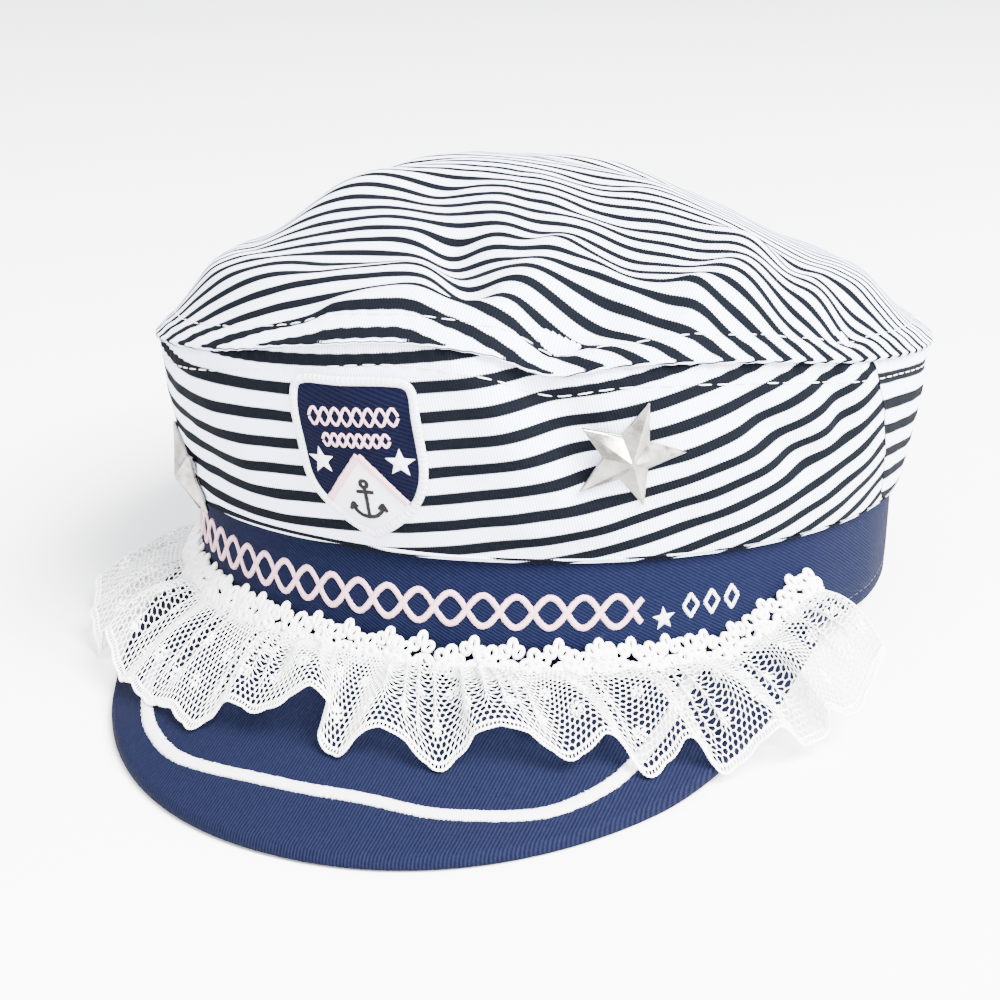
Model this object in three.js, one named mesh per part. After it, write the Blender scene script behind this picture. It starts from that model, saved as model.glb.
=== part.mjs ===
// A soft sailor cap: a striped crown, a navy band, a curved visor, a lace ruffle, star studs and a badge.
// Millimetres, +Z up, the visor towards -Y. The cap leans on the visor's edge and the back of its band.
import * as THREE from 'three';

// Driving sizes
const BAND_HALF_X = 83;
const BAND_HALF_Y = 97;
const BAND_HEIGHT = 24;
const BAND_WALL = 2;
const LEAN = THREE.MathUtils.degToRad(5.5);
const REST_SINK = 0.8;
const GAP = 0.3;
const SEAM_GAP = 0.6;

const CLOTH_WALL = 1.2;
const TOP_WALL = 1.4;
const TUCK_DEPTH = 6;
const SIDE_SEAM_ANGLE = 80;
const SEAM_STEP_DEGREES = 0.2;

const APEX = { x: 6, y: -30, z: 99 };

const VISOR = { middleX: 6.5, endY: -33, halfWidth: 80, reach: 117.5, power: 2.1, wall: 3, endAngle: 73 };
const VISOR_END_Z = 7.2;
const VISOR_ARCH = 1.5;

const LACE = { fromAngle: -70, toAngle: 68, braidWidth: 6, braidWall: 1.4, netWall: 1.0, netDepth: 23, pleats: 12, endShortening: 0.3 };
const LACE_END = { fromAngle: 50, toAngle: 68, rise: 10 };

const STUD = { radius: 12, waist: 4.8, height: 4.2, base: 0.6 };
const BADGE = { angle: 1.6, height: 46.5, halfWidth: 14.3, top: 17, point: 19, wall: 1.8, border: 0.84 };

// The crown around the head: seam flare and height, how far the side droops over the band,
// how far its belly stands out, and how full the top is towards that side.
const AROUND = [
  { angle: -150, flare: 5.0, seam: 55.0, droop: 1.0, belly: 2.4, full: 1.7 },
  { angle: -105, flare: 7.5, seam: 54.0, droop: 3.5, belly: 2.2, full: 1.9 },
  { angle: -66, flare: 8.6, seam: 54.5, droop: 6.5, belly: 2.0, full: 2.1 },
  { angle: -41, flare: 10.4, seam: 57.0, droop: 6.0, belly: 2.8, full: 2.1 },
  { angle: -22, flare: 11.8, seam: 60.5, droop: 3.6, belly: 3.8, full: 2.0 },
  { angle: -7, flare: 12.4, seam: 65.0, droop: 2.0, belly: 4.4, full: 2.0 },
  { angle: 9, flare: 12.4, seam: 68.6, droop: 1.2, belly: 4.4, full: 2.0 },
  { angle: 17, flare: 11.8, seam: 67.4, droop: 0.9, belly: 4.2, full: 1.9 },
  { angle: 24, flare: 10.2, seam: 63.4, droop: 0.6, belly: 4.0, full: 1.9 },
  { angle: 31, flare: 11.8, seam: 66.2, droop: 0.4, belly: 3.8, full: 1.9 },
  { angle: 45, flare: 12.0, seam: 66.6, droop: 0.2, belly: 3.4, full: 1.9 },
  { angle: 66, flare: 10.0, seam: 63.8, droop: 0.0, belly: 3.0, full: 1.8 },
  { angle: 90, flare: 6.8, seam: 61.0, droop: 0.0, belly: 2.8, full: 1.8 },
  { angle: 114, flare: 4.6, seam: 58.8, droop: 0.0, belly: 2.4, full: 1.8 },
  { angle: 150, flare: 4.6, seam: 56.0, droop: 0.0, belly: 2.4, full: 1.7 },
  { angle: 180, flare: 4.8, seam: 55.4, droop: 0.4, belly: 2.4, full: 1.7 },
];

// Long folds of the top panel as seen from above: from, to, width and height; a dent is negative.
const TOP_FOLDS = [
  { name: 'front overhang', fromX: -42, fromY: -88, toX: 12, toY: -98, width: 7, height: 2.4 },
  { name: 'dent at the seam dip', fromX: 40, fromY: -92, toX: -4, toY: -76, width: 9, height: -4.2 },
  { name: 'ridge beside the dip', fromX: 14, fromY: -66, toX: 66, toY: -74, width: 9, height: 4.6 },
  { name: 'cross pinch', fromX: 18, fromY: -46, toX: 84, toY: -30, width: 7, height: -3.2 },
  { name: 'right bulge', fromX: 52, fromY: -8, toX: 88, toY: -34, width: 11, height: 3.6 },
  { name: 'rear right dent', fromX: 60, fromY: 26, toX: 92, toY: 10, width: 8, height: -2.6 },
  { name: 'left pinch', fromX: -84, fromY: -52, toX: -58, toY: -44, width: 7, height: -2.2 },
];

// The studs: angle around the head, height on the side panel and turn of the star.
const STUDS = [
  { name: 'star_stud_right', angle: 33.6, height: 47.8, turn: -16 },
  { name: 'star_stud_left', angle: -47, height: 29, turn: 8 },
];

const COLOURS = {
  stripedCloth: { color: 0xdfe2ea, roughness: 0.9, metalness: 0 },
  navyTwill: { color: 0x2b3566, roughness: 0.85, metalness: 0 },
  lace: { color: 0xf2f1ee, roughness: 0.8, metalness: 0 },
  silver: { color: 0xb9b8b4, roughness: 0.3, metalness: 1 },
  badgeField: { color: 0x272e5c, roughness: 0.8, metalness: 0 },
  badgeBorder: { color: 0xf4f2f2, roughness: 0.7, metalness: 0 },
};

const radians = THREE.MathUtils.degToRad;

function smoothStep(from, to, value) {
  const share = THREE.MathUtils.clamp((value - from) / (to - from), 0, 1);
  return share * share * (3 - 2 * share);
}

// One column of the table around the head, eased from row to row and closed on itself.
function around(column, degrees) {
  let angle = degrees;
  const first = AROUND[0];
  while (angle < first.angle) angle += 360;
  while (angle >= first.angle + 360) angle -= 360;
  let below = AROUND[AROUND.length - 1];
  let above = { ...first, angle: first.angle + 360 };
  for (let i = 0; i + 1 < AROUND.length; i += 1) {
    if (angle >= AROUND[i].angle && angle < AROUND[i + 1].angle) {
      below = AROUND[i];
      above = AROUND[i + 1];
    }
  }
  const share = smoothStep(below.angle, above.angle, angle);
  return below[column] + (above[column] - below[column]) * share;
}

// A point on the head oval, moved out by an offset. Angle 0 is the front, positive towards +X.
function oval(degrees, offset) {
  const angle = radians(degrees);
  return new THREE.Vector2((BAND_HALF_X + offset) * Math.sin(angle), -(BAND_HALF_Y + offset) * Math.cos(angle));
}

// The cap's own frame has the band's lower edge level. This tips it so that the visor comes down.
function lean(point) {
  const y = point.y - BAND_HALF_Y;
  const tippedY = BAND_HALF_Y + y * Math.cos(LEAN) + point.z * Math.sin(LEAN);
  const tippedZ = -y * Math.sin(LEAN) + point.z * Math.cos(LEAN) - REST_SINK;
  return new THREE.Vector3(point.x, tippedY, Math.max(tippedZ, 0));
}

function bandPoint(degrees, offset, height) {
  const place = oval(degrees, offset);
  return lean(new THREE.Vector3(place.x, place.y, height));
}

// The section of the side panel at an angle: offset from the oval along x, height along y.
function sideSection(degrees) {
  const flare = around('flare', degrees);
  const seam = around('seam', degrees);
  const droop = around('droop', degrees);
  const belly = around('belly', degrees);
  const inside = -BAND_WALL - GAP - 0.1;
  const low = BAND_HEIGHT - droop;
  const rise = seam - BAND_HEIGHT;
  const points = [
    new THREE.Vector3(inside, BAND_HEIGHT - TUCK_DEPTH, 0),
    new THREE.Vector3(inside, BAND_HEIGHT, 0),
    new THREE.Vector3(inside + 0.7, BAND_HEIGHT + 0.6, 0),
    new THREE.Vector3(-0.2, BAND_HEIGHT + 0.6, 0),
    new THREE.Vector3(0.6, BAND_HEIGHT - 0.1, 0),
    new THREE.Vector3(0.7, low + 0.1, 0),
    new THREE.Vector3(0.55 * belly, low - 0.3, 0),
    new THREE.Vector3(belly, low + 1.2, 0),
    new THREE.Vector3(belly + 0.62 * (flare - belly), BAND_HEIGHT + 0.34 * rise, 0),
    new THREE.Vector3(belly + 0.97 * (flare - belly), BAND_HEIGHT + 0.68 * rise, 0),
    new THREE.Vector3(flare, seam, 0),
  ];
  return new THREE.CatmullRomCurve3(points, false, 'centripetal');
}

const SECTION_SHARES = [0, 0.1, 0.2, 0.3, 0.4, 0.5, 0.58, 0.65, 0.72, 0.8, 0.9, 1];

// A point of the side panel, moved in from the outer face by a depth.
function sidePoint(section, degrees, share, depth) {
  const place = section.getPoint(share);
  const along = section.getTangent(share);
  const offset = place.x - along.y * depth;
  const height = place.y + along.x * depth;
  return bandPoint(degrees, offset, height);
}

// The face of the side panel at a height, with its outward direction.
function sideFace(degrees, height) {
  const section = sideSection(degrees);
  const next = sideSection(degrees + SEAM_STEP_DEGREES);
  let share = 0.7;
  while (share < 1 && section.getPoint(share).y < height) share += 0.002;
  const point = sidePoint(section, degrees, share, 0);
  const up = sidePoint(section, degrees, share + 0.004, 0).sub(point).normalize();
  const sideways = sidePoint(next, degrees + SEAM_STEP_DEGREES, share, 0).sub(point).normalize();
  const out = new THREE.Vector3().crossVectors(sideways, up).normalize();
  return { point, up: new THREE.Vector3().crossVectors(out, sideways), sideways, out };
}

function foldHeight(x, y) {
  let height = 0;
  for (const fold of TOP_FOLDS) {
    const runX = fold.toX - fold.fromX;
    const runY = fold.toY - fold.fromY;
    const length = Math.hypot(runX, runY);
    const along = ((x - fold.fromX) * runX + (y - fold.fromY) * runY) / length;
    const across = ((x - fold.fromX) * runY - (y - fold.fromY) * runX) / length;
    const past = Math.max(0, -along, along - length);
    height += fold.height * Math.exp(-((across / fold.width) ** 2) - (past / fold.width) ** 2);
  }
  return height;
}

// A point of the top panel: share 0 at the apex, 1 at the crown seam.
function topPoint(degrees, share, depth) {
  const rim = oval(degrees, around('flare', degrees) + 0.5);
  const rimZ = around('seam', degrees) + SEAM_GAP + TOP_WALL;
  const x = APEX.x + share * (rim.x - APEX.x);
  const y = APEX.y + share * (rim.y - APEX.y);
  const round = rimZ + (APEX.z - rimZ) * (1 - share ** around('full', degrees));
  const nearRim = 1 - smoothStep(0.9, 1, share);
  return lean(new THREE.Vector3(x, y, round + foldHeight(x, y) * nearRim - depth));
}

// The visor's outline seen from above.
function visorEdge(turn) {
  const side = Math.sin(turn);
  const swing = Math.sign(side) * Math.abs(side) ** (2 / VISOR.power);
  const x = VISOR.middleX * Math.cos(turn) + VISOR.halfWidth * swing;
  const y = VISOR.endY - VISOR.reach * Math.abs(Math.cos(turn)) ** (2 / VISOR.power);
  const z = VISOR.wall + VISOR_END_Z * smoothStep(0.9, Math.PI / 2, Math.abs(turn));
  return new THREE.Vector3(x, y, z);
}

// The visor's upper face: share 0 under the band, 1 at its edge.
function visorPoint(turn, share, depth) {
  const degrees = VISOR.endAngle * turn / (Math.PI / 2) + 2 * Math.cos(turn);
  const inner = bandPoint(degrees, -0.8 * BAND_WALL, 0);
  inner.z -= SEAM_GAP;
  const point = inner.lerp(visorEdge(turn), share);
  point.z += VISOR_ARCH * Math.sin(Math.PI * share) ** 2 * Math.cos(turn) - depth;
  return point;
}

// Height of the visor's upper face over a plan point, found along the outline's own turn.
function visorHeight(x, y) {
  let best = { distance: Infinity, z: 0 };
  for (let i = -40; i <= 40; i += 1) {
    const turn = i / 40 * Math.PI / 2;
    for (let j = 0; j <= 20; j += 1) {
      const point = visorPoint(turn, j / 20, 0);
      const distance = Math.hypot(point.x - x, point.y - y);
      if (distance < best.distance) best = { distance, z: point.z };
    }
  }
  return best;
}

// A closed wall from two grids of points: rows run along u, columns along v.
function wallGeometry(rows, columns, outerPoint, innerPoint, closedInU) {
  const points = [];
  const faces = [];
  const lastRow = closedInU ? rows : rows + 1;
  for (const pointAt of [outerPoint, innerPoint]) {
    for (let i = 0; i < lastRow; i += 1) {
      for (let j = 0; j <= columns; j += 1) points.push(pointAt(i / rows, j / columns));
    }
  }
  const sheet = lastRow * (columns + 1);
  const at = (i, j, inner) => (i % lastRow) * (columns + 1) + j + (inner ? sheet : 0);
  const quad = (a, b, c, d) => faces.push([a, b, c], [a, c, d]);
  for (let i = 0; i < rows; i += 1) {
    for (let j = 0; j < columns; j += 1) {
      quad(at(i, j), at(i + 1, j), at(i + 1, j + 1), at(i, j + 1));
      quad(at(i, j, true), at(i, j + 1, true), at(i + 1, j + 1, true), at(i + 1, j, true));
    }
    quad(at(i, 0, true), at(i + 1, 0, true), at(i + 1, 0), at(i, 0));
    quad(at(i, columns), at(i + 1, columns), at(i + 1, columns, true), at(i, columns, true));
  }
  if (!closedInU) {
    for (let j = 0; j < columns; j += 1) {
      quad(at(0, j), at(0, j + 1), at(0, j + 1, true), at(0, j, true));
      quad(at(rows, j, true), at(rows, j + 1, true), at(rows, j + 1), at(rows, j));
    }
  }
  return closedGeometry(points, faces);
}

// A closed disc wall from two fans of rings: share 0 is the middle, 1 the rim.
function discGeometry(spokes, rings, outerPoint, innerPoint) {
  const points = [outerPoint(0, 0), innerPoint(0, 0)];
  for (const pointAt of [outerPoint, innerPoint]) {
    for (let j = 1; j <= rings; j += 1) {
      for (let i = 0; i < spokes; i += 1) points.push(pointAt(i / spokes, j / rings));
    }
  }
  const at = (i, j, inner) => 2 + (inner ? rings * spokes : 0) + (j - 1) * spokes + (i % spokes);
  const faces = [];
  const quad = (a, b, c, d) => faces.push([a, b, c], [a, c, d]);
  for (let i = 0; i < spokes; i += 1) {
    faces.push([0, at(i, 1), at(i + 1, 1)], [1, at(i + 1, 1, true), at(i, 1, true)]);
    for (let j = 1; j < rings; j += 1) {
      quad(at(i, j), at(i, j + 1), at(i + 1, j + 1), at(i + 1, j));
      quad(at(i, j, true), at(i + 1, j, true), at(i + 1, j + 1, true), at(i, j + 1, true));
    }
    quad(at(i, rings), at(i, rings, true), at(i + 1, rings, true), at(i + 1, rings));
  }
  return closedGeometry(points, faces);
}

// Turns every face outwards by the sign of the enclosed volume.
function closedGeometry(points, faces) {
  let volume = 0;
  for (const [a, b, c] of faces) {
    volume += points[a].dot(new THREE.Vector3().crossVectors(points[b], points[c]));
  }
  const order = volume > 0 ? faces : faces.map(([a, b, c]) => [a, c, b]);
  const geometry = new THREE.BufferGeometry();
  geometry.setAttribute('position', new THREE.Float32BufferAttribute(points.flatMap((p) => [p.x, p.y, p.z]), 3));
  geometry.setIndex(order.flat());
  geometry.computeVertexNormals();
  return geometry;
}

function makePiece(name, geometry, finish) {
  const mesh = new THREE.Mesh(geometry, new THREE.MeshStandardMaterial(finish));
  mesh.name = name;
  return mesh;
}

function headband() {
  const face = (offset) => (u, v) => bandPoint(360 * u, offset, BAND_HEIGHT * v);
  return makePiece('headband', wallGeometry(64, 1, face(0), face(-BAND_WALL), true), COLOURS.navyTwill);
}

function sidePanel(name, fromAngle, toAngle, rows) {
  const last = SECTION_SHARES.length - 1;
  const face = (depth) => (u, v) => {
    const degrees = fromAngle + (toAngle - fromAngle) * u;
    return sidePoint(sideSection(degrees), degrees, SECTION_SHARES[Math.round(v * last)], depth);
  };
  return makePiece(name, wallGeometry(rows, last, face(0), face(CLOTH_WALL), false), COLOURS.stripedCloth);
}

function crownTop() {
  const face = (depth) => (u, share) => topPoint(360 * u, share ** 0.8, depth);
  return makePiece('crown_top', discGeometry(60, 9, face(0), face(TOP_WALL)), COLOURS.stripedCloth);
}

function visor() {
  const turnAt = (u) => (u - 0.5) * Math.PI;
  const upper = (u, v) => visorPoint(turnAt(u), v, 0);
  const lower = (u, v) => visorPoint(turnAt(u), v, VISOR.wall);
  return makePiece('visor', wallGeometry(36, 5, upper, lower, false), COLOURS.navyTwill);
}

// How near an angle is to the lace's ends, where it climbs the band and gets shorter.
function laceEnd(degrees) {
  return smoothStep(LACE_END.fromAngle, LACE_END.toAngle, Math.abs(degrees));
}

// A point outside the band's lower edge at an angle, kept clear above the visor.
function lacePoint(degrees, offset, height, clearance) {
  const point = bandPoint(degrees, offset, height + LACE_END.rise * laceEnd(degrees));
  const under = visorHeight(point.x, point.y);
  if (under.distance < 6) point.z = Math.max(point.z, under.z + clearance);
  return point;
}

function laceBraid() {
  const angleAt = (u) => LACE.fromAngle + (LACE.toAngle - LACE.fromAngle) * u;
  const lower = (u, v) => lacePoint(angleAt(u), 0.5 + LACE.braidWidth * v, 1.6 - 4.4 * v, 0.6);
  const upper = (u, v) => {
    const point = lower(u, v);
    point.z += LACE.braidWall;
    return point;
  };
  return makePiece('lace_braid', wallGeometry(54, 1, upper, lower, false), COLOURS.lace);
}

function laceRuffle() {
  const angleAt = (u) => LACE.fromAngle + (LACE.toAngle - LACE.fromAngle) * u;
  const start = 0.5 + LACE.braidWidth + GAP + 0.2;
  const lower = (u, v) => {
    const pleat = Math.sin(2 * Math.PI * LACE.pleats * u);
    const depth = LACE.netDepth * (1 - LACE.endShortening * laceEnd(angleAt(u)));
    const offset = start + (depth + 2 * pleat) * v;
    const height = -2.6 - 0.24 * LACE.netDepth * v + 2.6 * pleat * v;
    return lacePoint(angleAt(u), offset, height, 0.8);
  };
  const upper = (u, v) => {
    const point = lower(u, v);
    point.z += LACE.netWall;
    return point;
  };
  return makePiece('lace_ruffle', wallGeometry(108, 2, upper, lower, false), COLOURS.lace);
}

// Places a flat piece, drawn in its own x and y with z outwards, on the side panel.
function seatOnSide(mesh, degrees, height, turn, lift) {
  const face = sideFace(degrees, height);
  const axes = new THREE.Matrix4().makeBasis(face.sideways, face.up, face.out);
  mesh.quaternion.setFromRotationMatrix(axes);
  mesh.rotateZ(radians(turn));
  mesh.position.copy(face.point).addScaledVector(face.out, lift);
  return mesh;
}

function starStud({ name, angle, height, turn }) {
  const points = [new THREE.Vector3(0, 0, STUD.height), new THREE.Vector3(0, 0, 0)];
  for (const level of [STUD.base, 0]) {
    for (let i = 0; i < 10; i += 1) {
      const radius = i % 2 === 0 ? STUD.radius : STUD.waist;
      const spin = Math.PI / 2 + i * Math.PI / 5;
      points.push(new THREE.Vector3(radius * Math.cos(spin), radius * Math.sin(spin), level));
    }
  }
  const faces = [];
  for (let i = 0; i < 10; i += 1) {
    const next = (i + 1) % 10;
    faces.push([0, 2 + i, 2 + next], [1, 12 + next, 12 + i]);
    faces.push([2 + i, 12 + i, 12 + next], [2 + i, 12 + next, 2 + next]);
  }
  const stud = makePiece(name, closedGeometry(points, faces), COLOURS.silver);
  return seatOnSide(stud, angle, height, turn, GAP);
}

// The shield's outline: a flat top, straight sides and a point below.
function shieldEdge(u) {
  const angle = 2 * Math.PI * u;
  const x = Math.sin(angle);
  const y = Math.cos(angle);
  if (y > 0) {
    const square = (Math.abs(x) ** 7 + y ** 7) ** (-1 / 7);
    return new THREE.Vector2(x * square * BADGE.halfWidth, y * square * BADGE.top);
  }
  const low = (Math.abs(x) ** 1.9 + Math.abs(y) ** 1.9) ** (-1 / 1.9);
  return new THREE.Vector2(x * low * BADGE.halfWidth, y * low * BADGE.point);
}

// A patch bent to the side panel, between two shares of the shield.
function badgePoint(u, share, lift) {
  const place = shieldEdge(u).multiplyScalar(share);
  const flare = around('flare', BADGE.angle);
  const degrees = BADGE.angle + THREE.MathUtils.radToDeg(place.x / (BAND_HALF_X + flare));
  const face = sideFace(degrees, BADGE.height);
  const middle = sideFace(BADGE.angle, BADGE.height);
  const bend = 0.0035 * place.y * place.y;
  return face.point.clone().addScaledVector(middle.up, place.y).addScaledVector(face.out, lift - bend);
}

function badge() {
  const lift = 0.45;
  const field = BADGE.border - 0.035;
  const front = (u, share) => badgePoint(u, share * field, lift + BADGE.wall - 0.4);
  const back = (u, share) => badgePoint(u, share * field, lift);
  const rimFront = (u, v) => badgePoint(u, BADGE.border + (1 - BADGE.border) * v, lift + BADGE.wall);
  const rimBack = (u, v) => badgePoint(u, BADGE.border + (1 - BADGE.border) * v, lift);
  return [
    makePiece('badge_field', discGeometry(40, 3, front, back), COLOURS.badgeField),
    makePiece('badge_border', wallGeometry(40, 1, rimFront, rimBack, true), COLOURS.badgeBorder),
  ];
}

const cap = new THREE.Group();
cap.add(
  crownTop(),
  sidePanel('crown_side_front', -SIDE_SEAM_ANGLE + 0.1, SIDE_SEAM_ANGLE - 0.1, 40),
  sidePanel('crown_side_back', SIDE_SEAM_ANGLE + 0.1, 360 - SIDE_SEAM_ANGLE - 0.1, 30),
  headband(),
  visor(),
  laceBraid(),
  laceRuffle(),
  ...STUDS.map(starStud),
  ...badge(),
);

// The origin is the middle of the cap's box on the surface it rests on.
const box = new THREE.Box3().setFromObject(cap);
const middle = box.getCenter(new THREE.Vector3());
cap.position.set(-middle.x, -middle.y, -box.min.z);

export default cap;
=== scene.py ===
# The looks of a soft sailor cap: striped crown, navy band and visor, lace ruffle, star studs and a badge.
# Shapes are worked out in millimetres in the cap's own frame, then leaned and moved into the row frame.
import math

import bpy
import numpy as np
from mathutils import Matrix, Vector
from mathutils.bvhtree import BVHTree


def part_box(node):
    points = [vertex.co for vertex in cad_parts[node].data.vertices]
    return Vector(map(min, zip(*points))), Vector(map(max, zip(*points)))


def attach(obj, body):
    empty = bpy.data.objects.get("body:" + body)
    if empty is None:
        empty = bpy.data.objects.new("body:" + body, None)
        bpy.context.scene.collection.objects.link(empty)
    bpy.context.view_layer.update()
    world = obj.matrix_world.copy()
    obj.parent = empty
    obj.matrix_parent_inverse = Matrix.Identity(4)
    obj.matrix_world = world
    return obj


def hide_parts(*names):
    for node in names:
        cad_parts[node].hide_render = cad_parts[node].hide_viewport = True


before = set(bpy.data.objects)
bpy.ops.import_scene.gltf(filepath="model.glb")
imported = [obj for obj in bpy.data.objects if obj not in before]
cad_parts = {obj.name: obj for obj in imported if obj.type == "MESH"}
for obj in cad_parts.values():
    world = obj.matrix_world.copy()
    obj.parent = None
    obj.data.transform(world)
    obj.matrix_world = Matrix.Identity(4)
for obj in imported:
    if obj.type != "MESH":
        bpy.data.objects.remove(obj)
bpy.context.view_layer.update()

# Driving sizes, in millimetres and degrees
MM = 0.001
BAND_HALF_X = 83.0
BAND_HALF_Y = 97.0
BAND_HEIGHT = 24.0
BAND_WALL = 2.0
LEAN = math.radians(5.5)
REST_SINK = 0.8
GAP = 0.3
SEAM_GAP = 0.6
CLOTH_WALL = 1.2
TOP_WALL = 1.4
TUCK_DEPTH = 6.0
SIDE_SEAM_ANGLE = 80.0
APEX_X = -20.0
APEX_Y = 12.0
APEX_Z = 95.3
VISOR_MIDDLE_X = 7.3
VISOR_END_Y = -33.0
VISOR_HALF_WIDTH = 79.0
VISOR_REACH = 117.5
VISOR_POWER = 2.1
VISOR_WALL = 3.0
VISOR_END_ANGLE = 73.0
VISOR_END_Z = 7.2
VISOR_ARCH = 1.5
STRIPE_PITCH = 6.15
STRIPE_DARK_SHARE = 0.43
WALE_PITCH = 0.66
BAND_RADIUS = (BAND_HALF_X + BAND_HALF_Y) / 2
CROWN_RADIUS = BAND_RADIUS + 8
PANEL_HEIGHT = 46
TOP_SPOKES = 440

# Edges and seams, and the number of stitches around
TOPSTITCHES = 154
BAND_STITCHES = 185
TOP_EDGE_RISE = 1.2
TOP_EDGE_DROP = 0.9
TOP_STRIPE_PHASE = 2.6
STITCH_PITCH = 4.1
SEAM_SLANT = 11.0
TOPSTITCH_ABOVE = 5.4
TOPSTITCH_BELOW = 5.0
BAND_STITCH_HEIGHT = 3.2
VISOR_EDGE_ROUND = 1.3

# Badge and studs
BADGE_ANGLE = 0.6
BADGE_HEIGHT = 44.6
BADGE_HALF_WIDTH = 14.3
BADGE_TOP = 17.0
BADGE_POINT = 19.0
BADGE_SPLIT = 2.5
BADGE_TAPER = 3.1
BADGE_BORDER = 1.9
CHEVRON_TOP = 1.3
STUD_RADIUS = 12.0
STUD_WAIST = 5.1
STUD_HEIGHT = 4.2
STUD_BASE = 0.6

# Band embroidery
TWIST_FROM = -62.0
TWIST_TO = 38.5
TWIST_STAR = 41.8
TWIST_HEIGHT = 12.3
TWIST_SWING = 3.3
TWIST_PITCH = 14.6

# Lace
LACE_FROM = -70.0
LACE_TO = 67.5
LACE_RISE_FROM = 50.0
LACE_RISE = 10.0
RUFFLE_START = 3.4
NET_DEPTH = 27.0
NET_PITCH = 1.5
NET_THREAD = 0.197
HEADING = 2.6
SCALLOP_PITCH = 6.4
TRIM_PITCH = 8.6
TRIM_OUT = 2.6
TRIM_TALL = 1.15
TRIM_LIFT = 2.1
TRIM_TILT = math.radians(42)

# Camera, floor and light
CAMERA_AZIMUTH = math.radians(24)
CAMERA_HEIGHT = math.radians(20)
CAMERA_DISTANCE = 480.0
CAMERA_FOCAL_PIXELS = 1902.6
SENSOR = 36.0
PHOTO_SIDE = 1000
FLOOR_HALF = 3000.0
SKY_POWER = 2.3
LIGHT_TARGET = (0, 0, 0.05)

# Thickness along one stitch and along one straight thread: share of its length, share of its radius
STITCH_PROFILE = ((0.0, 0.25), (0.12, 0.8), (0.35, 1.0), (0.65, 1.0), (0.88, 0.8), (1.0, 0.25))
THREAD_PROFILE = ((0.0, 1.0), (1.0, 1.0))

# The studs: name, degrees around, height, turn
STUDS = (
    ("right", 33.6, 47.8, -16.0),
    ("left", -43.0, 26.6, 9.0),
)

# A stud from its middle out: share of the way to its outline, height
STUD_LEVELS = (
    (0.06, 4.05), (0.5, 2.35), (0.94, STUD_BASE + 0.16), (1.0, STUD_BASE), (1.0, 0.0), (0.94, -0.3),
)

# The visor's satin line from above: x, y
VISOR_LINE = (
    (-50, -98), (-49, -106), (-44, -115), (-37, -124), (-24, -133), (-3, -136), (19, -135), (35, -132),
    (50, -123), (58, -110), (61, -97), (62, -82), (61, -66), (60, -52), (58, -40),
)

# The ruffle's free edge, a row for each crest and tip: degrees around, distance out, height over the table
RUFFLE_FOLDS = (
    (-69.0, 20.0, 5.0),
    (-63.0, 26.5, 2.2),
    (-58.0, 26.0, 7.5),
    (-53.0, 26.5, 1.4),
    (-47.5, 27.0, 8.0),
    (-42.8, 26.5, 1.6),
    (-37.0, 27.0, 12.0),
    (-31.0, 28.0, 5.6),
    (-26.5, 29.5, 8.5),
    (-22.0, 30.5, 7.4),
    (-17.5, 31.0, 9.6),
    (-13.0, 33.4, 8.8),
    (-11.0, 31.5, 11.5),
    (-9.0, 30.3, 16.2),
    (-5.8, 30.5, 15.4),
    (-2.6, 30.4, 18.4),
    (1.0, 29.5, 23.6),
    (3.2, 30.2, 20.8),
    (2.0, 30.4, 13.2),
    (4.2, 32.4, 10.7),
    (7.3, 30.6, 17.0),
    (10.0, 30.6, 16.8),
    (14.5, 32.2, 10.1),
    (16.7, 30.6, 13.6),
    (18.4, 30.6, 18.4),
    (22.0, 30.5, 19.0),
    (27.3, 30.0, 11.6),
    (31.0, 28.5, 16.0),
    (34.8, 29.6, 6.3),
    (37.2, 27.8, 8.2),
    (39.2, 28.4, 13.2),
    (43.6, 26.8, 2.6),
    (49.0, 28.6, 11.2),
    (53.0, 27.2, 4.4),
    (55.8, 27.4, 6.2),
    (55.2, 28.2, 11.6),
    (58.9, 28.0, 8.2),
    (62.0, 27.6, 15.6),
    (67.5, 22.0, 15.0),
)

# The crown around the head: seam flare and height, droop over the band, belly and fullness of the top.
COLUMNS = ("angle", "flare", "seam", "droop", "belly", "full")
AROUND = (
    (-150, 5.0, 55.0, 1.0, 1.8, 1.15),
    (-105, 7.5, 54.0, 3.5, 1.8, 1.20),
    (-66, 8.8, 55.0, 5.0, 1.4, 0.86),
    (-41, 10.4, 58.0, 4.0, 1.6, 1.00),
    (-22, 11.6, 61.8, 2.2, 1.8, 1.00),
    (-7, 12.2, 66.4, 1.2, 1.8, 0.98),
    (9, 12.2, 69.4, 0.8, 1.8, 1.02),
    (17, 11.8, 68.0, 0.6, 1.8, 1.04),
    (24, 10.6, 64.4, 0.5, 1.8, 1.06),
    (31, 11.8, 66.6, 0.4, 1.8, 1.08),
    (45, 12.0, 67.0, 0.2, 1.8, 1.10),
    (66, 10.0, 64.0, 0.0, 1.8, 1.15),
    (90, 6.8, 61.0, 0.0, 1.8, 0.95),
    (114, 4.6, 58.8, 0.0, 1.8, 0.78),
    (150, 4.6, 56.0, 0.0, 1.8, 1.00),
    (180, 4.8, 55.4, 0.4, 1.8, 1.10),
)

# The top panel's section: share of the way from its middle to its edge, and share of its rise.
TOP_SECTION = (
    (0.0, 1.0), (0.1, 0.995), (0.2, 0.98), (0.3, 0.945), (0.4, 0.885), (0.47, 0.82), (0.54, 0.75),
    (0.61, 0.665), (0.68, 0.565), (0.75, 0.48), (0.82, 0.43), (0.87, 0.355), (0.915, 0.21), (0.96, 0.07),
    (1.0, 0.0),
)

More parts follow.
